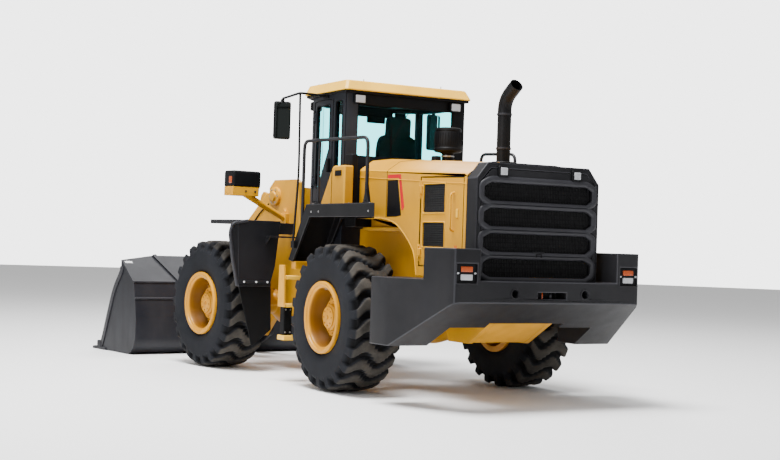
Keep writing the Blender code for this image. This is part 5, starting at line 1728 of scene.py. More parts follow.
@dataclass
class Cab(Assembly):
    """The cab's shell, glass, roof, lamps and inside."""

    half: float = 0.82
    rear: float = -0.87

    def build(self) -> None:
        """Dresses the shell and fits it out."""
        Workshop.skin("cab_frame", CAB_COAT, 0.006, 2, CAB_HIGHLIGHT)
        Workshop.skin("cab_door", CAB_COAT, 0.004, 2, CAB_HIGHLIGHT)
        Workshop.skin("cab_roof", CREAM, 0.016, 4)
        for node in ("windscreen", "rear_window", "quarter_window", "right_window", "cab_door_glass"):
            Workshop.repaint(node, GLAZING)
        self.rear_face()
        self.roof()
        self.door()
        self.work_lamps()
        self.inside()
        self.seat()
        self.steering()
        self.wipers()

    def rear_face(self) -> None:
        """The black surround of the rear window and its seal."""
        y = self.rear
        panels = [(-0.80, -0.655, 2.60, 3.378), (0.655, 0.80, 2.60, 3.378), (-0.66, 0.66, 3.235, 3.378)]
        for number, (x0, x1, z0, z1) in enumerate(panels):
            panel = pillow_block((x0, y - 0.006, z0), (x1, y + 0.004, z1), 0.003)
            # The left pillar panel's lighter coat is a painted reflection; the other two panels are black.
            self.add(f"rear_panel_{number}", panel, PLASTIC if number else CAB_HIGHLIGHT)
        self.frame_seal("rear_seal", [(-0.655, 2.625), (0.655, 2.625), (0.655, 3.235), (-0.655, 3.235)], y + 0.004)

    def frame_seal(self, name: str, corners: Sequence[Vec], y: float) -> None:
        """A rubber seal round an opening in a wall that faces the rear.

        Args:
            name: the seal's.
            corners: the opening's corners in X and Z.
            y: where the wall is.
        """
        ring = bent([*corners, corners[0]], 0.05, 6)[:-1]
        path = np.column_stack([ring[:, 0], np.full(len(ring), y), ring[:, 1]])
        self.add(name, swept(path, round_section(0.010, 8), True), FLAP)

    def roof(self) -> None:
        """A raised middle on the roof, its gutter and small aerials."""
        cap = pillow_block((-0.62, -0.72, 3.492), (0.62, 0.14, 3.512), 0.010)
        self.add("roof_middle", cap, CREAM, slot="cream_paint")
        gutter = self.slab(
            [
                (-0.84, -0.925), (0.84, -0.925), (0.845, 0.08), (0.60, 0.355), (-0.60, 0.355), (-0.845, 0.08)
            ], 3.352, 3.3795, Axis.Z
        )
        self.add("roof_gutter", gutter, PLASTIC)
        for number, (x, y) in enumerate([(-0.55, -0.80), (0.50, -0.82), (-0.70, 0.05)]):
            knob = turned([(0, 0), (0.018, 0), (0.018, 0.006), (0.006, 0.012), (0.005, 0.045), (0, 0.047)], 16)
            self.add(f"roof_eye_{number}", knob, ZINC, place=Matrix.Translation((x, y, 3.488)), slot="plain_iron")

    def face(self, y: float, out: float) -> float:
        """X of the cab's left face at a station, and this far outside it."""
        return -(self.half - max(0.0, y + 0.30) * 0.07 / 0.39 + out)

    def door(self) -> None:
        """The door's seals and handle, and the quarter window's seal."""
        corners = [(-0.578, 2.103), (-0.578, 3.297), (-0.30, 3.297), (-0.004, 3.297), (-0.004, 2.103), (-0.30, 2.103)]
        path = np.array([(self.face(y, 0.001), y, z) for y, z in corners])
        self.add("door_seal", swept(path, round_section(0.0055, 8), True), FLAP)
        handle = pillow_block((-0.864, -0.549, 2.436), (-0.818, -0.506, 2.604), 0.012)
        self.add("door_handle", handle, PLASTIC, body="cab_door")
        window = [(-0.50, 2.72), (-0.50, 3.24), (-0.10, 3.24), (-0.10, 2.30), (-0.14, 2.26), (-0.22, 2.26)]
        ring = bent([*window, window[0]], 0.03, 5)[:-1]
        path = np.array([(self.face(y, 0.0), y, z) for y, z in ring])
        self.add("door_window_seal", swept(path, round_section(0.008, 8), True), FLAP, body="cab_door")
        quarter = [(-0.808, 2.165), (-0.808, 3.265), (-0.642, 3.265), (-0.642, 2.165)]
        ring = bent([*quarter, quarter[0]], 0.03, 5)[:-1]
        path = np.array([(-self.half, y, z) for y, z in ring])
        self.add("quarter_seal", swept(path, round_section(0.007, 8), True), FLAP)

    def work_lamps(self) -> None:
        """Four lamps under the roof, two looking back and two ahead."""
        for side in Side:
            for name, x, y, way in (("rear", 0.655, self.rear - 0.034, -1), ("front", 0.60, 0.295, 1)):
                z = 3.285
                cup = pillow_block((x - 0.075, y - 0.030, z - 0.055), (x + 0.075, y + 0.030, z + 0.055), 0.020)
                lens = pillow_block(
                    (x - 0.062, y + way * 0.026 - 0.008, z - 0.043),
                    (x + 0.062, y + way * 0.026 + 0.008, z + 0.043),
                    0.007,
                )
                stem = rod([(x, y, z + 0.04), (x, y, 3.365)], 0.012, 0.01, 12)
                self.add(f"work_cup_{name}_{side.label}", self.mirrored(cup, side), PLASTIC)
                self.add(f"work_lens_{name}_{side.label}", self.mirrored(lens, side), CLEAR)
                self.add(f"work_stem_{name}_{side.label}", self.mirrored(stem, side), PLASTIC)

    def inside(self) -> None:
        """Ceiling, floor mat, consoles, mirror and levers."""
        ceiling = self.slab(
            [
                (-0.752, -0.802),
                (0.752, -0.802),
                (0.752, -0.31),
                (0.70, 0.04),
                (0.41, 0.24),
                (-0.41, 0.24),
                (-0.70, 0.04),
                (-0.752, -0.31),
            ],
            3.33,
            3.372,
            Axis.Z,
            0.01,
        )
        self.add("cab_ceiling", ceiling, TRIM)
        mat = self.slab(
            [(-0.74, -0.79), (0.74, -0.79), (0.74, -0.32), (0.68, 0.03), (-0.68, 0.03), (-0.74, -0.32)],
            1.6205,
            1.632,
            Axis.Z,
        )
        self.add("cab_mat", mat, FLAP)
        blocks = {
            "console_right": ((0.30, -0.62, 1.63), (0.50, 0.02, 2.26), 0.03),
            "armrest_right": ((0.31, -0.58, 2.262), (0.46, -0.18, 2.33), 0.03),
            "armrest_left": ((-0.42, -0.60, 2.30), (-0.33, -0.24, 2.36), 0.025),
            "air_box": ((-0.60, -0.80, 1.63), (0.24, -0.745, 2.45), 0.02),
            "sun_blind": ((-0.40, 0.13, 3.20), (0.40, 0.16, 3.325), 0.010),
        }
        for name, (low, high, edge) in blocks.items():
            self.add(name, pillow_block(low, high, edge), TRIM)
        glass = pillow_block((0.0, 0.075, 3.12), (0.26, 0.100, 3.215), 0.012)
        self.add("inner_mirror", glass, PLASTIC)
        for number, (x, y) in enumerate([(0.35, -0.10), (0.42, -0.10)]):
            lever = rod([(x, y, 2.25), (x - 0.01, y + 0.02, 2.40)], 0.007, 0.01, 10)
            self.add(f"lever_{number}", lever, PLASTIC)
            knob = turned([(0, 0), (0.014, 0.004), (0.022, 0.022), (0.020, 0.042), (0.010, 0.052), (0, 0.054)], 20)
            self.add(f"lever_knob_{number}", knob, PLASTIC, place=Matrix.Translation((x - 0.012, y + 0.022, 2.385)))
        beacon = rod([(-0.35, -0.55, 2.36), (-0.35, -0.58, 2.20), (-0.28, -0.58, 2.15)], 0.014, 0.05, 10)
        self.add("armrest_stay", beacon, PLASTIC)

    @staticmethod
    def cushion(low: Vec, high: Vec, crown: float, pull: float, channels: int) -> Surface:
        """A stuffed pad.

        A block with rounded edges gains height: the crown times (1 - u^2)(1 - v^2), where u and v run from
        -1 to 1 across it, less a shallow cosine groove at each sewn channel. Its sides pull in by a share
        of (1 - v^2) at half its height, and a seam stands a little proud all round.

        Args:
            low: the lowest corner.
            high: the highest corner.
            crown: how far the top and the front swell.
            pull: the share that the sides pull in.
            channels: how many sewn channels cross it.

        Returns:
            The pad.
        """
        low, high = np.asarray(low, float), np.asarray(high, float)
        middle, half = (low + high) / 2, (high - low) / 2
        n = 40
        grid = np.linspace(-1, 1, n)
        shapes = []
        for axis in range(3):
            a, b = np.meshgrid(grid, grid, indexing="ij")
            for sign in (-1.0, 1.0):
                cube = np.empty((n, n, 3))
                cube[..., axis], cube[..., (axis + 1) % 3], cube[..., (axis + 2) % 3] = sign, a, b
                shapes.append(Surface(cube.reshape(-1, 3), [lattice(n, n)]))
        block = Surface.joined(shapes)
        q = block.points
        length = np.sum(np.abs(q) ** 5, axis=1)[:, None] ** 0.2
        unit = q / length
        u, v, w = unit[:, 0], unit[:, 1], unit[:, 2]
        thin = int(np.argmin(half))
        wide = [k for k in range(3) if k != thin]
        s, t = unit[:, wide[0]], unit[:, wide[1]]
        groove = np.cos(t * np.pi * channels) ** 16 * 0.006 if channels else 0 * t
        bulge = crown * (1 - s**2).clip(0) * (1 - t**2).clip(0) - groove * (1 - s**8).clip(0)
        points = unit * half
        points[:, thin] += np.sign(unit[:, thin]) * bulge * (np.abs(unit[:, thin]) > 0.5)
        waist = 1 - pull * (1 - t**2).clip(0)
        points[:, wide[0]] *= waist
        points[:, wide[1]] *= 1 - pull * (1 - s**2).clip(0)
        edge = np.exp(-((unit[:, thin] / 0.05) ** 2)) * 0.004
        points += unit * edge[:, None]
        return Surface(points + middle, block.faces)

    def seat(self) -> None:
        """The driver's seat: bellows, pan, two pads, headrest and its posts."""
        rings = [(0.0, 1.635), (0.19, 1.635), (0.19, 1.66)]
        rings += [(0.17 + 0.022 * (k % 2), 1.68 + 0.035 * k) for k in range(9)]
        rings += [(0.17, 2.0), (0.0, 2.0)]
        bellows = turned(rings, 40)
        bellows.points[:, 0] *= 0.95
        self.add(
            "seat_bellows",
            bellows,
            FLAP,
            place=Matrix.Translation((0, -0.30, 0)),
            replaces=["seat"],
            slot="dark_cloth",
        )
        pan = pillow_block((-0.245, -0.56, 1.985), (0.245, -0.03, 2.045), 0.02)
        self.add("seat_pan", pan, PLASTIC)
        pads = {
            "seat_cushion": (self.cushion((-0.25, -0.575, 2.04), (0.25, -0.02, 2.16), 0.012, 0.03, 3), Matrix()),
            "seat_back": (
                self.cushion((-0.275, -0.055, 0.0), (0.275, 0.055, 0.79), 0.012, 0.05, 4),
                Matrix.Translation((0, -0.59, 2.145)) @ Matrix.Rotation(math.radians(6), 4, "X"),
            ),
            "seat_head": (
                self.cushion((-0.170, -0.05, 0.0), (0.170, 0.05, 0.29), 0.010, 0.06, 0),
                Matrix.Translation((0, -0.675, 2.85)) @ Matrix.Rotation(math.radians(4), 4, "X"),
            ),
        }
        for name, (shape, place) in pads.items():
            piece = self.add(name, shape, CLOTH, place=place, slot="dark_cloth", shading=Shading.SMOOTH)
        for x in (-0.05, 0.05):
            post = rod([(x, -0.65, 2.74), (x, -0.675, 2.90)], 0.007, 0.01, 10)
            self.add(f"seat_post_{'left' if x < 0 else 'right'}", post, ZINC, slot="plain_iron")

    def steering(self) -> None:
        """The steering wheel, its column and the instrument pod."""
        tilt = (Vector((0, -0.01, 2.48)) - Vector((0, 0.12, 2.22))).normalized()
        place = pointing((0, -0.01, 2.48), tilt)
        ring = turned(round_section(0.013, 12) + (0.187, 0.0), 64)
        self.add("steering_rim", ring, PLASTIC, place=place, replaces=["steering_column"], shading=Shading.SMOOTH)
        hub = turned([(0, -0.02), (0.05, -0.02), (0.055, 0.0), (0.048, 0.018), (0.02, 0.026), (0, 0.027)], 32)
        self.add("steering_hub", hub, TRIM, place=place)
        spokes = [
            rod(
                [(0.03 * math.cos(a), 0.03 * math.sin(a), 0), (0.18 * math.cos(a), 0.18 * math.sin(a), 0.0)],
                0.010,
                0.01,
                10,
            )
            for a in (math.radians(90), math.radians(210), math.radians(330))
        ]
        self.add("steering_spokes", Surface.joined(spokes), PLASTIC, place=place)
        column = rod([(0, -0.005, 2.47), (0, 0.12, 2.22)], 0.034, 0.01, 20)
        self.add("steering_tube", column, PLASTIC)
        pod = pillow_block((-0.16, 0.062, 1.635), (0.16, 0.235, 2.30), 0.03)
        self.add("dash_pod", pod, TRIM)
        binnacle = pillow_block((-0.18, 0.055, 2.28), (0.18, 0.215, 2.40), 0.03)
        self.add("dash_binnacle", binnacle, PLASTIC)

    def wipers(self) -> None:
        """A wiper on the windscreen and one on the rear window."""
        for name, points in {
            "rear": [
                (0.10, self.rear + 0.012, 3.225), (0.02, self.rear + 0.004, 3.16), (-0.18, self.rear + 0.004, 2.80)
            ],
            "front": [(0.10, 0.330, 2.01), (0.05, 0.322, 2.10), (-0.12, 0.322, 2.75)],
        }.items():
            self.add(f"wiper_arm_{name}", rod(points, 0.006, 0.03, 8), PLASTIC)
        blade = pillow_block((-0.20, self.rear + 0.001, 2.66), (-0.185, self.rear + 0.014, 3.02), 0.003)
        self.add("wiper_blade_rear", blade, FLAP)


@dataclass
class Walkways(Assembly):
    """Decks, guard rails, ladders and mirrors of both sides."""

    deck_top: float = 2.04
    near: float = 1.07
    far: float = 1.39

    def build(self) -> None:
        """Builds both sides."""
        for side in Side:
            Workshop.skin(f"deck_{side.label}", BLACK, 0.006, 2, BLACK_HIGHLIGHT)
            Workshop.skin(f"ladder_{side.label}", YELLOW, 0.003, 2, YELLOW_HIGHLIGHT)
            Workshop.skin(f"mirror_{side.label}", BLACK, 0.004, 2)
            self.treads(side)
            self.ladder(side)
            self.mirror(side)

    def treads(self, side: Side) -> None:
        """The tread sheet, its bolts and the rails' foot plates.

        Args:
            side: which side.
        """
        top = self.deck_top
        rear = -2.16 if side is Side.LEFT else -1.39
        sheet = self.slab(
            [(0.855, -1.67), (1.250, -2.36), (1.250, -0.875), (0.855, -0.875)], top, top + 0.004, Axis.Z, 0.001
        )
        self.add(f"deck_tread_{side.label}", self.mirrored(sheet, side), TREAD)
        spots = [(1.235, y, top + 0.003) for y in (-2.26, -1.80, -1.34, -0.95)]
        spots += [(0.875, y, top + 0.003) for y in (-1.60, -1.28, -0.95)]
        self.add(
            f"deck_bolts_{side.label}",
            self.mirrored(self.bolts(spots, (0, 0, 1), 0.010, 0.006), side),
            ZINC,
            slot="plain_iron",
        )
        for number, y in enumerate((-1.04, rear)):
            flange = turned([(0, 0), (0.045, 0), (0.045, 0.008), (0.028, 0.012), (0.024, 0.03), (0, 0.03)], 24)
            place = Matrix.Translation((side.value * 1.22, y, top + 0.001))
            self.add(f"rail_foot_{side.label}_{number}", flange, BLACK, place=place)
        spots = [(1.2705, y, z) for y, z in ((-0.98, 1.955), (-1.16, 1.955), (-2.30, 1.955))]
        self.add(
            f"deck_side_bolts_{side.label}",
            self.mirrored(self.bolts(spots, (1, 0, 0), 0.010, 0.007), side),
            ZINC,
            slot="plain_iron",
        )

    def ladder(self, side: Side) -> None:
        """Cream step faces, rubber hangers and the cream bottom tread.

        Args:
            side: which side.
        """
        steps = []
        for z, y0, y1 in ((1.18, -0.622, -0.458), (0.86, -0.632, -0.438)):
            steps.append(pillow_block((self.near + 0.014, y0, z - 0.003), (self.far - 0.014, y1, z + 0.038), 0.008))
        self.add(f"ladder_steps_{side.label}", self.mirrored(Surface.joined(steps), side), CREAM, slot="cream_paint")
        grips = [
            Matrix.Translation((self.near + 0.05 + 0.032 * k, y, z + 0.038))
            for z, y in ((1.18, -0.54), (0.86, -0.535))
            for k in range(8)
        ]
        nub = pillow_block((-0.006, -0.055, -0.002), (0.006, 0.055, 0.005), 0.003, 2)
        self.add(f"ladder_grips_{side.label}", self.mirrored(nub.repeated(grips), side), CREAM, slot="cream_paint")
        hangers = [
            pillow_block((x - 0.052, -0.595, 0.515), (x + 0.052, -0.485, 0.875), 0.010)
            for x in (self.near + 0.062, self.far - 0.062)
        ]
        self.add(f"ladder_hangers_{side.label}", self.mirrored(Surface.joined(hangers), side), FLAP)
        bottom = pillow_block((self.near - 0.002, -0.632, 0.478), (self.far + 0.002, -0.448, 0.534), 0.010)
        self.add(f"ladder_bottom_{side.label}", self.mirrored(bottom, side), CREAM, slot="cream_paint")
        spots = [
            (x, -0.596, z)
            for x in (self.near + 0.03, self.near + 0.09, self.far - 0.09, self.far - 0.03)
            for z in (0.57, 0.83)
        ]
        self.add(
            f"ladder_bolts_{side.label}",
            self.mirrored(self.bolts(spots, (0, -1, 0), 0.009, 0.006), side),
            ZINC,
            slot="plain_iron",
        )

    def mirror(self, side: Side) -> None:
        """The mirror's rounded back, its face and its clamp.

        Args:
            side: which side.
        """
        place = Matrix.Translation((side.value * 1.08, 0.26, 3.08)) @ Matrix.Rotation(
            side.value * math.radians(12), 4, "Z"
        )
        shell = pillow_block((-0.106, -0.033, -0.231), (0.106, 0.033, 0.231), 0.030, 7)
        self.add(f"mirror_shell_{side.label}", shell, PLASTIC, place=place)
        face = pillow_block((-0.088, -0.0365, -0.213), (0.088, -0.030, 0.213), 0.0035)
        self.add(f"mirror_face_{side.label}", face, DARK_MIRROR, place=place)
        clamp = turned([(0.0155, -0.02), (0.024, -0.02), (0.024, 0.02), (0.0155, 0.02)], 24)
        self.add(
            f"mirror_clamp_{side.label}", clamp, PLASTIC, place=Matrix.Translation((side.value * 1.08, 0.26, 3.315))
        )


@dataclass
class FrontEnd(Assembly):
    """Mudguards, headlamps and the towers' pin covers."""

    group: Group = Group.FRONT
    body: str = "front_frame"

    def build(self) -> None:
        """Builds both sides."""
        for side in Side:
            Workshop.skin(f"front_mudguard_{side.label}", SLATE, 0.005, 2, SLATE_HIGHLIGHT)
            Workshop.skin(f"headlamp_{side.label}", YELLOW, 0.010, 3, upper=(2.272, PLASTIC))
            self.mudguard(side)
            self.headlamp(side)
            self.pins(side)

    def mudguard(self, side: Side) -> None:
        """The rubber flap, its bolts, strap and the small step.

        Args:
            side: which side.
        """
        flap = self.slab([(1.402, 1.10), (1.182, 0.316), (0.917, 0.518), (0.938, 1.10)], 0.684, 0.704, Axis.Y)
        self.add(f"flap_{side.label}", self.mirrored(flap, side), FLAP)
        strap = pillow_block((0.96, 0.650, 1.085), (1.40, 0.662, 1.125), 0.004)
        self.add(f"flap_strap_{side.label}", self.mirrored(strap, side), SLATE, slot="grey_paint")
        spots = [(x, 0.652, 1.105) for x in (1.01, 1.17, 1.34)]
        self.add(
            f"flap_bolts_{side.label}",
            self.mirrored(self.bolts(spots, (0, -1, 0), 0.013, 0.010), side),
            BRIGHT,
            slot="plain_iron",
        )
        tray = self.slab([(0.60, 1.655), (1.06, 1.655), (1.06, 1.675), (0.60, 1.675)], 0.535, 0.662, Axis.Y, 0.002)
        self.add(f"guard_tray_{side.label}", self.mirrored(tray, side), SLATE, slot="grey_paint")
        wing = self.slab(
            [(1.40, 1.845), (1.53, 1.80), (1.548, 1.70), (1.50, 1.38), (1.425, 1.06), (1.38, 1.06)],
            0.661,
            0.683,
            Axis.Y,
        )
        self.add(f"guard_wing_{side.label}", self.mirrored(wing, side), SLATE, slot="grey_paint")
        curve = [
            (1.30, 0.668, 1.850),
            (1.515, 0.668, 1.815),
            (1.548, 0.668, 1.70),
            (1.50, 0.668, 1.38),
            (1.425, 0.668, 1.065),
        ]
        lip = rod(curve, 0.020, 0.05, 10)
        # The lip's lighter slate is a painted highlight.
        self.add(f"guard_lip_{side.label}", self.mirrored(lip, side), SLATE_HIGHLIGHT, slot="grey_paint")
        gusset = self.slab([(0.56, 1.656), (0.66, 1.656), (0.66, 1.56)], 1.040, 1.052, Axis.X, 0.002)
        self.add(f"guard_gusset_{side.label}", self.mirrored(gusset, side), SLATE, slot="grey_paint")

    def headlamp(self, side: Side) -> None:
        """The black housing, its lenses and the amber indicator.

        Args:
            side: which side.
        """
        shell = pillow_block((1.012, 0.870, 2.262), (1.412, 1.108, 2.470), 0.030, 6)
        self.add(f"lamp_shell_{side.label}", self.mirrored(shell, side), PLASTIC)
        beams = [pillow_block((x, 1.094, 2.282), (x + 0.165, 1.114, 2.430), 0.009) for x in (1.035, 1.215)]
        self.add(f"lamp_beams_{side.label}", self.mirrored(Surface.joined(beams), side), CLEAR)
        amber = pillow_block((1.352, 0.895, 2.300), (1.4145, 0.990, 2.405), 0.020, 6)
        self.add(f"lamp_indicator_{side.label}", self.mirrored(amber, side), AMBER)
        spots = [(1.23, 0.866, 2.215), (1.10, 0.866, 2.215)]
        self.add(
            f"lamp_bolts_{side.label}",
            self.mirrored(self.bolts(spots, (0, -1, 0), 0.012, 0.008), side),
            CASTING,
            slot="plain_iron",
        )

    def pins(self, side: Side) -> None:
        """Round keepers over the boom pin, and the plates' bolts.

        Args:
            side: which side.
        """
        cap = turned(
            [
                (0, 0),
                (0.118, 0),
                (0.118, 0.008),
                (0.110, 0.014),
                (0.066, 0.016),
                (0.060, 0.034),
                (0.052, 0.040),
                (0, 0.040),
            ],
            40,
        )
        way = (side.value, 0, 0)
        self.add(
            f"boom_pin_cap_{side.label}",
            cap,
            YELLOW,
            place=pointing((side.value * 0.584, 1.25, 2.19), way),
            slot="yellow_paint",
        )
        turns = np.linspace(0, 2 * np.pi, 6, endpoint=False)
        spots = [(side.value * 0.598, 1.25 + 0.09 * math.cos(a), 2.19 + 0.09 * math.sin(a)) for a in turns]
        self.add(f"boom_pin_bolts_{side.label}", self.bolts(spots, way, 0.011, 0.009), ZINC, slot="plain_iron")
        keeper = turned([(0, 0), (0.062, 0), (0.062, 0.006), (0.045, 0.010), (0.040, 0.024), (0, 0.024)], 32)
        place = pointing((side.value * 0.5605, 1.02, 1.98), way)
        self.add(f"tower_keeper_{side.label}", keeper, YELLOW, place=place, slot="yellow_paint")


@dataclass
class Linkage(Assembly):
    """Boom, bellcrank, link and the five rams with their pipes."""

    group: Group = Group.FRONT
    body: str = "boom"

    def build(self) -> None:
        """Dresses the arms and rams, and adds pins and pipes."""
        Workshop.skin("boom", YELLOW, 0.006, 2, YELLOW_HIGHLIGHT)
        Workshop.skin("bellcrank", YELLOW, 0.006, 2, YELLOW_HIGHLIGHT)
        Workshop.skin("tilt_link", YELLOW, 0.004, 2)
        for ram in ("tilt", "lift_left", "lift_right", "steer_left", "steer_right"):
            Workshop.skin(f"{ram}_barrel", BLACK if ram.startswith("steer") else YELLOW, 0.003, 2)
            Workshop.skin(f"{ram}_rod", CHROME, 0.002, 2)
            self.ram(ram)
        self.pins()

    def pins(self) -> None:
        """Keepers on the outside of each boom plate at its pins."""
        profile = [(0, 0), (0.070, 0), (0.070, 0.006), (0.060, 0.012), (0.040, 0.014), (0.034, 0.024), (0, 0.024)]
        for side in Side:
            place = pointing((side.value * 0.4925, 1.958, 1.284), (side.value, 0, 0))
            self.add(f"boom_keeper_lift_{side.label}", turned(profile, 32), YELLOW, place=place, slot="yellow_paint")
            place = pointing((side.value * 0.1455, 2.52, 1.30), (side.value, 0, 0))
            self.add(f"crank_keeper_{side.label}", turned(profile, 32), YELLOW, place=place, slot="yellow_paint")
            seam = [(side.value * 0.489, y, z) for y, z in ((1.40, 2.16), (1.75, 1.98), (2.20, 1.58), (2.55, 1.14))]
            pipe = rod([(x + side.value * 0.012, y, z) for x, y, z in seam], 0.009, 0.10, 10)
            self.add(f"boom_pipe_{side.label}", pipe, BLACK)

    def ram(self, name: str) -> None:
        """A barrel's feed pipe with its clamps.

        Args:
            name: the ram's.
        """
        joints = {joint["name"]: joint for joint in frame["joints"]}
        base = Vector(joints[f"{name}_barrel_turn"]["pos_m"])
        axis = Vector(joints[f"{name}_rod_slide"]["axis"]).normalized()
        low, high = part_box(f"{name}_barrel")
        length = {"tilt": 0.80, "lift": 1.18, "steer": 0.82}[name.split("_")[0]]
        radius = {"tilt": 0.095, "lift": 0.083, "steer": 0.05}[name.split("_")[0]]
        up = Vector((0, 0, 1)) - axis * axis.z
        up.normalize()
        out = up * (radius + 0.016)
        start, end = base + axis * 0.22 + out, base + axis * (length - 0.10) + out
        line = [start - out * 0.25, start, end, end - out * 0.25]
        pipe = rod([tuple(point) for point in line], 0.009, 0.03, 10)
        body = f"{name}_barrel"
        Workshop.piece(f"{name}_feed", pipe, CASTING, body, slot="plain_iron")
        clamps = [
            pointing(base + axis * (0.25 + share * (length - 0.38)) + up * (radius + 0.008), axis) for share in (
                0.1, 0.5, 0.9
            )
        ]
        block = pillow_block((-0.017, -0.017, -0.012), (0.017, 0.017, 0.012), 0.005, 3)
        Workshop.piece(f"{name}_clamps", block.repeated(clamps), CASTING, body, slot="plain_iron")


@dataclass
class Bucket(Assembly):
    """The bucket's shell with its ribs, side strips and wear parts."""

    group: Group = Group.FRONT
    body: str = "bucket"
    half: float = 1.49

    def build(self) -> None:
        """Dresses the shell and welds the parts on."""
        Workshop.skin("bucket", BUCKET_SLATE, 0.004, 2, SLATE_HIGHLIGHT)
        self.guard_ribs()
        self.edges()
        self.wear_parts()

    def guard_ribs(self) -> None:
        """Slanted ribs on the guard's back, the ridge bars and the white corner marks."""
        foot, crest = Vector((3.395, 1.002)), Vector((3.796, 1.29))
        along = (crest - foot).normalized()
        rise = (crest - foot).length
        across = Vector((-along.y, along.x))
        for side in Side:
            for number, (x_top, x_foot, top) in enumerate(((0.95, 0.78, rise + 0.115), (0.30, 0.25, rise + 0.115))):
                head, base = foot + along * top, foot + along * 0.01
                lift = across * 0.012
                path = np.array([(side.value * x_foot, *(base + lift)), (side.value * x_top, *(head + lift))])
                rib = swept(path, np.array([(-0.008, -0.03), (0.008, -0.03), (0.008, 0.03), (-0.008, 0.03)]))
                self.add(f"guard_rib_{side.label}_{number}", rib, BUCKET_SLATE, slot="grey_paint")
            spot = foot + along * (rise - 0.055) + across * 0.001
            mark = pillow_block((-0.055, -0.022, -0.001), (0.055, 0.022, 0.002), 0.001, 2)
            place = Matrix.Translation((side.value * (self.half - 0.09), *spot)) @ Matrix.Rotation(
                math.atan2(along.y, along.x), 4, "X"
            )
            self.add(f"corner_mark_{side.label}", mark, BRIGHT, place=place, slot="grey_paint")
        for number, (y, z, r) in enumerate(((3.330, 0.775, 0.016), (3.388, 1.000, 0.014))):
            bar = rod([(-self.half + 0.002, y, z), (self.half - 0.002, y, z)], r, 0.01, 12)
            # The bars' lighter slate is a painted highlight.
            self.add(f"back_bar_{number}", bar, SLATE_HIGHLIGHT, slot="grey_paint")

    def edges(self) -> None:
        """The thick strip along each side plate's front edge."""
        front = smooth_curve(
            np.array([(3.800, 1.20), (3.806, 1.123), (4.013, 0.86), (4.17, 0.53), (4.31, 0.208), (4.40, 0.03)]), 6
        )
        for side in Side:
            path = np.column_stack([np.full(len(front), self.half - 0.004), front[:, 0] - 0.030, front[:, 1]])
            strip = swept(path, np.array([(-0.040, -0.016), (0.040, -0.016), (0.040, 0.016), (-0.040, 0.016)]))
            # The strip's lighter slate is a painted highlight.
            self.add(f"side_strip_{side.label}", self.mirrored(strip, side), SLATE_HIGHLIGHT, slot="grey_paint")

    def wear_parts(self) -> None:
        """Bolts and segments of the cutting edge, and its corner shields."""
        for side in Side:
            shield = pillow_block((self.half - 0.03, 4.33, 0.030), (self.half + 0.022, 4.47, 0.125), 0.015, 5)
            self.add(f"corner_shield_{side.label}", self.mirrored(shield, side), CASTING, slot="plain_iron")
        spots = [(x, 4.37, 0.034) for x in np.linspace(-1.38, 1.38, 16)]
        self.add("edge_bolts", self.bolts(spots, (0, 0, 1), 0.020, 0.010), CASTING, slot="plain_iron")
        segments = [
            pillow_block((x - 0.225, 4.42, 0.010), (x + 0.225, 4.612, 0.038), 0.004, 3) for x in np.linspace(
                -1.26, 1.26, 6
            )
        ]
        self.add("edge_segments", Surface.joined(segments), CASTING, slot="plain_iron")


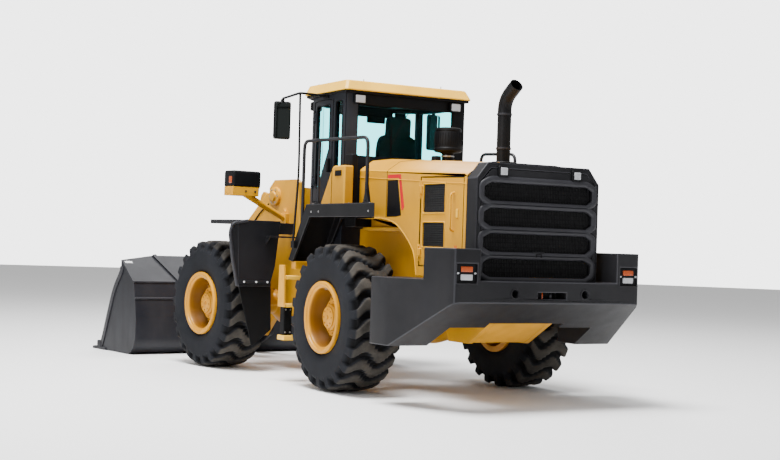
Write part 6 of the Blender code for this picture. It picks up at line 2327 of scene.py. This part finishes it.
@dataclass
class Studio:
    """Floor, lights and the camera."""

    camera_from_hitch: tuple[float, float, float] = (-8.273, -14.840, 1.582)
    heading: float = math.radians(30.109)
    pitch: float = math.radians(-0.721)
    roll: float = math.radians(1.846)
    lens: float = 63.48

    def build(self) -> None:
        """Sets up everything that isn't the machine."""
        self.floor()
        self.world()
        self.light("key", (-3.5, -2.5, 14.0), 6.0, 5600.0)
        self.light("fill", (-11.0, -7.0, 6.0), 5.0, 420.0)
        self.light("rim", (5.0, 8.0, 12.0), 6.0, 900.0)
        self.camera()

    def floor(self) -> None:
        """A broad pale disc under the machine."""
        shape = turned([(0, 0), (60, 0), (60, -0.02), (0, -0.02)], 96).moved(Matrix.Translation((0, 0, -0.002)))
        mesh = bpy.data.meshes.new("floor")
        mesh.from_pydata(shape.points.tolist(), [], [row for rows in shape.faces for row in rows.tolist()])
        mesh.validate()
        Workshop.object("floor", mesh, GROUND, Shading.FLAT)

    @staticmethod
    def world() -> None:
        """An even surround, brighter where it is looked at than where it lights."""
        world = bpy.data.worlds.new("studio")
        bpy.context.scene.world = world
        world.use_nodes = True
        tree = world.node_tree
        seen = tree.nodes["Background"]
        seen.inputs["Color"].default_value = (1, 1, 1, 1)
        seen.inputs["Strength"].default_value = 4.0
        lit = tree.nodes.new("ShaderNodeBackground")
        lit.inputs["Color"].default_value = (1, 1, 1, 1)
        lit.inputs["Strength"].default_value = 0.62
        path, mixed = tree.nodes.new("ShaderNodeLightPath"), tree.nodes.new("ShaderNodeMixShader")
        either, depth, direct, both = (tree.nodes.new("ShaderNodeMath") for _ in range(4))
        either.operation, depth.operation = "MAXIMUM", "ADD"
        direct.operation, both.operation = "LESS_THAN", "MULTIPLY"
        direct.inputs[1].default_value = 0.5
        tree.links.new(path.outputs["Is Camera Ray"], either.inputs[0])
        tree.links.new(path.outputs["Is Transmission Ray"], either.inputs[1])
        tree.links.new(path.outputs["Diffuse Depth"], depth.inputs[0])
        tree.links.new(path.outputs["Glossy Depth"], depth.inputs[1])
        tree.links.new(depth.outputs[0], direct.inputs[0])
        tree.links.new(either.outputs[0], both.inputs[0])
        tree.links.new(direct.outputs[0], both.inputs[1])
        tree.links.new(both.outputs[0], mixed.inputs[0])
        tree.links.new(lit.outputs[0], mixed.inputs[1])
        tree.links.new(seen.outputs[0], mixed.inputs[2])
        tree.links.new(mixed.outputs[0], tree.nodes["World Output"].inputs["Surface"])

    @staticmethod
    def light(name: str, spot: Vec, size: float, power: float) -> None:
        """A soft square light aimed at the machine's middle.

        Args:
            name: the light's.
            spot: where it hangs.
            size: its side.
            power: its watts.
        """
        data = bpy.data.lights.new(name, "AREA")
        data.shape, data.size, data.energy = "SQUARE", size, power
        lamp = bpy.data.objects.new(name, data)
        bpy.context.scene.collection.objects.link(lamp)
        lamp.location = spot
        lamp.rotation_euler = (Vector((0, -0.5, 1.4)) - Vector(spot)).to_track_quat("-Z", "Y").to_euler()

    def camera(self) -> None:
        """The camera behind the machine's left rear corner, turned by its heading, pitch and roll."""
        data = bpy.data.cameras.new("view")
        data.lens, data.sensor_width = self.lens, 36.0
        camera = bpy.data.objects.new("view", data)
        bpy.context.scene.collection.objects.link(camera)
        sin, cos = math.sin(self.heading), math.cos(self.heading)
        ahead = Vector((sin * math.cos(self.pitch), cos * math.cos(self.pitch), -math.sin(self.pitch)))
        right = Vector((cos, -sin, 0.0))
        above = right.cross(ahead)
        x = right * math.cos(self.roll) + above * math.sin(self.roll)
        y = above * math.cos(self.roll) - right * math.sin(self.roll)
        turn = Matrix((x, y, -ahead)).transposed().to_4x4()
        spot = Vector(self.camera_from_hitch) + Vector((*DATUM.hitch, 0.0))
        camera.matrix_world = Matrix.Translation(spot) @ turn
        bpy.context.scene.camera = camera


def main() -> None:
    """Builds the studio and every assembly."""
    logging.basicConfig(level=logging.INFO, format="%(message)s")
    Studio().build()
    assemblies = [Wheel(end, side) for end in ("rear", "front") for side in Side]
    assemblies += [Chassis(), Counterweight(), Hood(), Cowl(), Breathers(), Cab(), Walkways()]
    assemblies += [FrontEnd(), Linkage(), Bucket()]
    for assembly in assemblies:
        before = Workshop.count
        assembly.build()
        LOG.info("%s: %d pieces", type(assembly).__name__, Workshop.count - before)


if __name__ == "__main__":
    main()
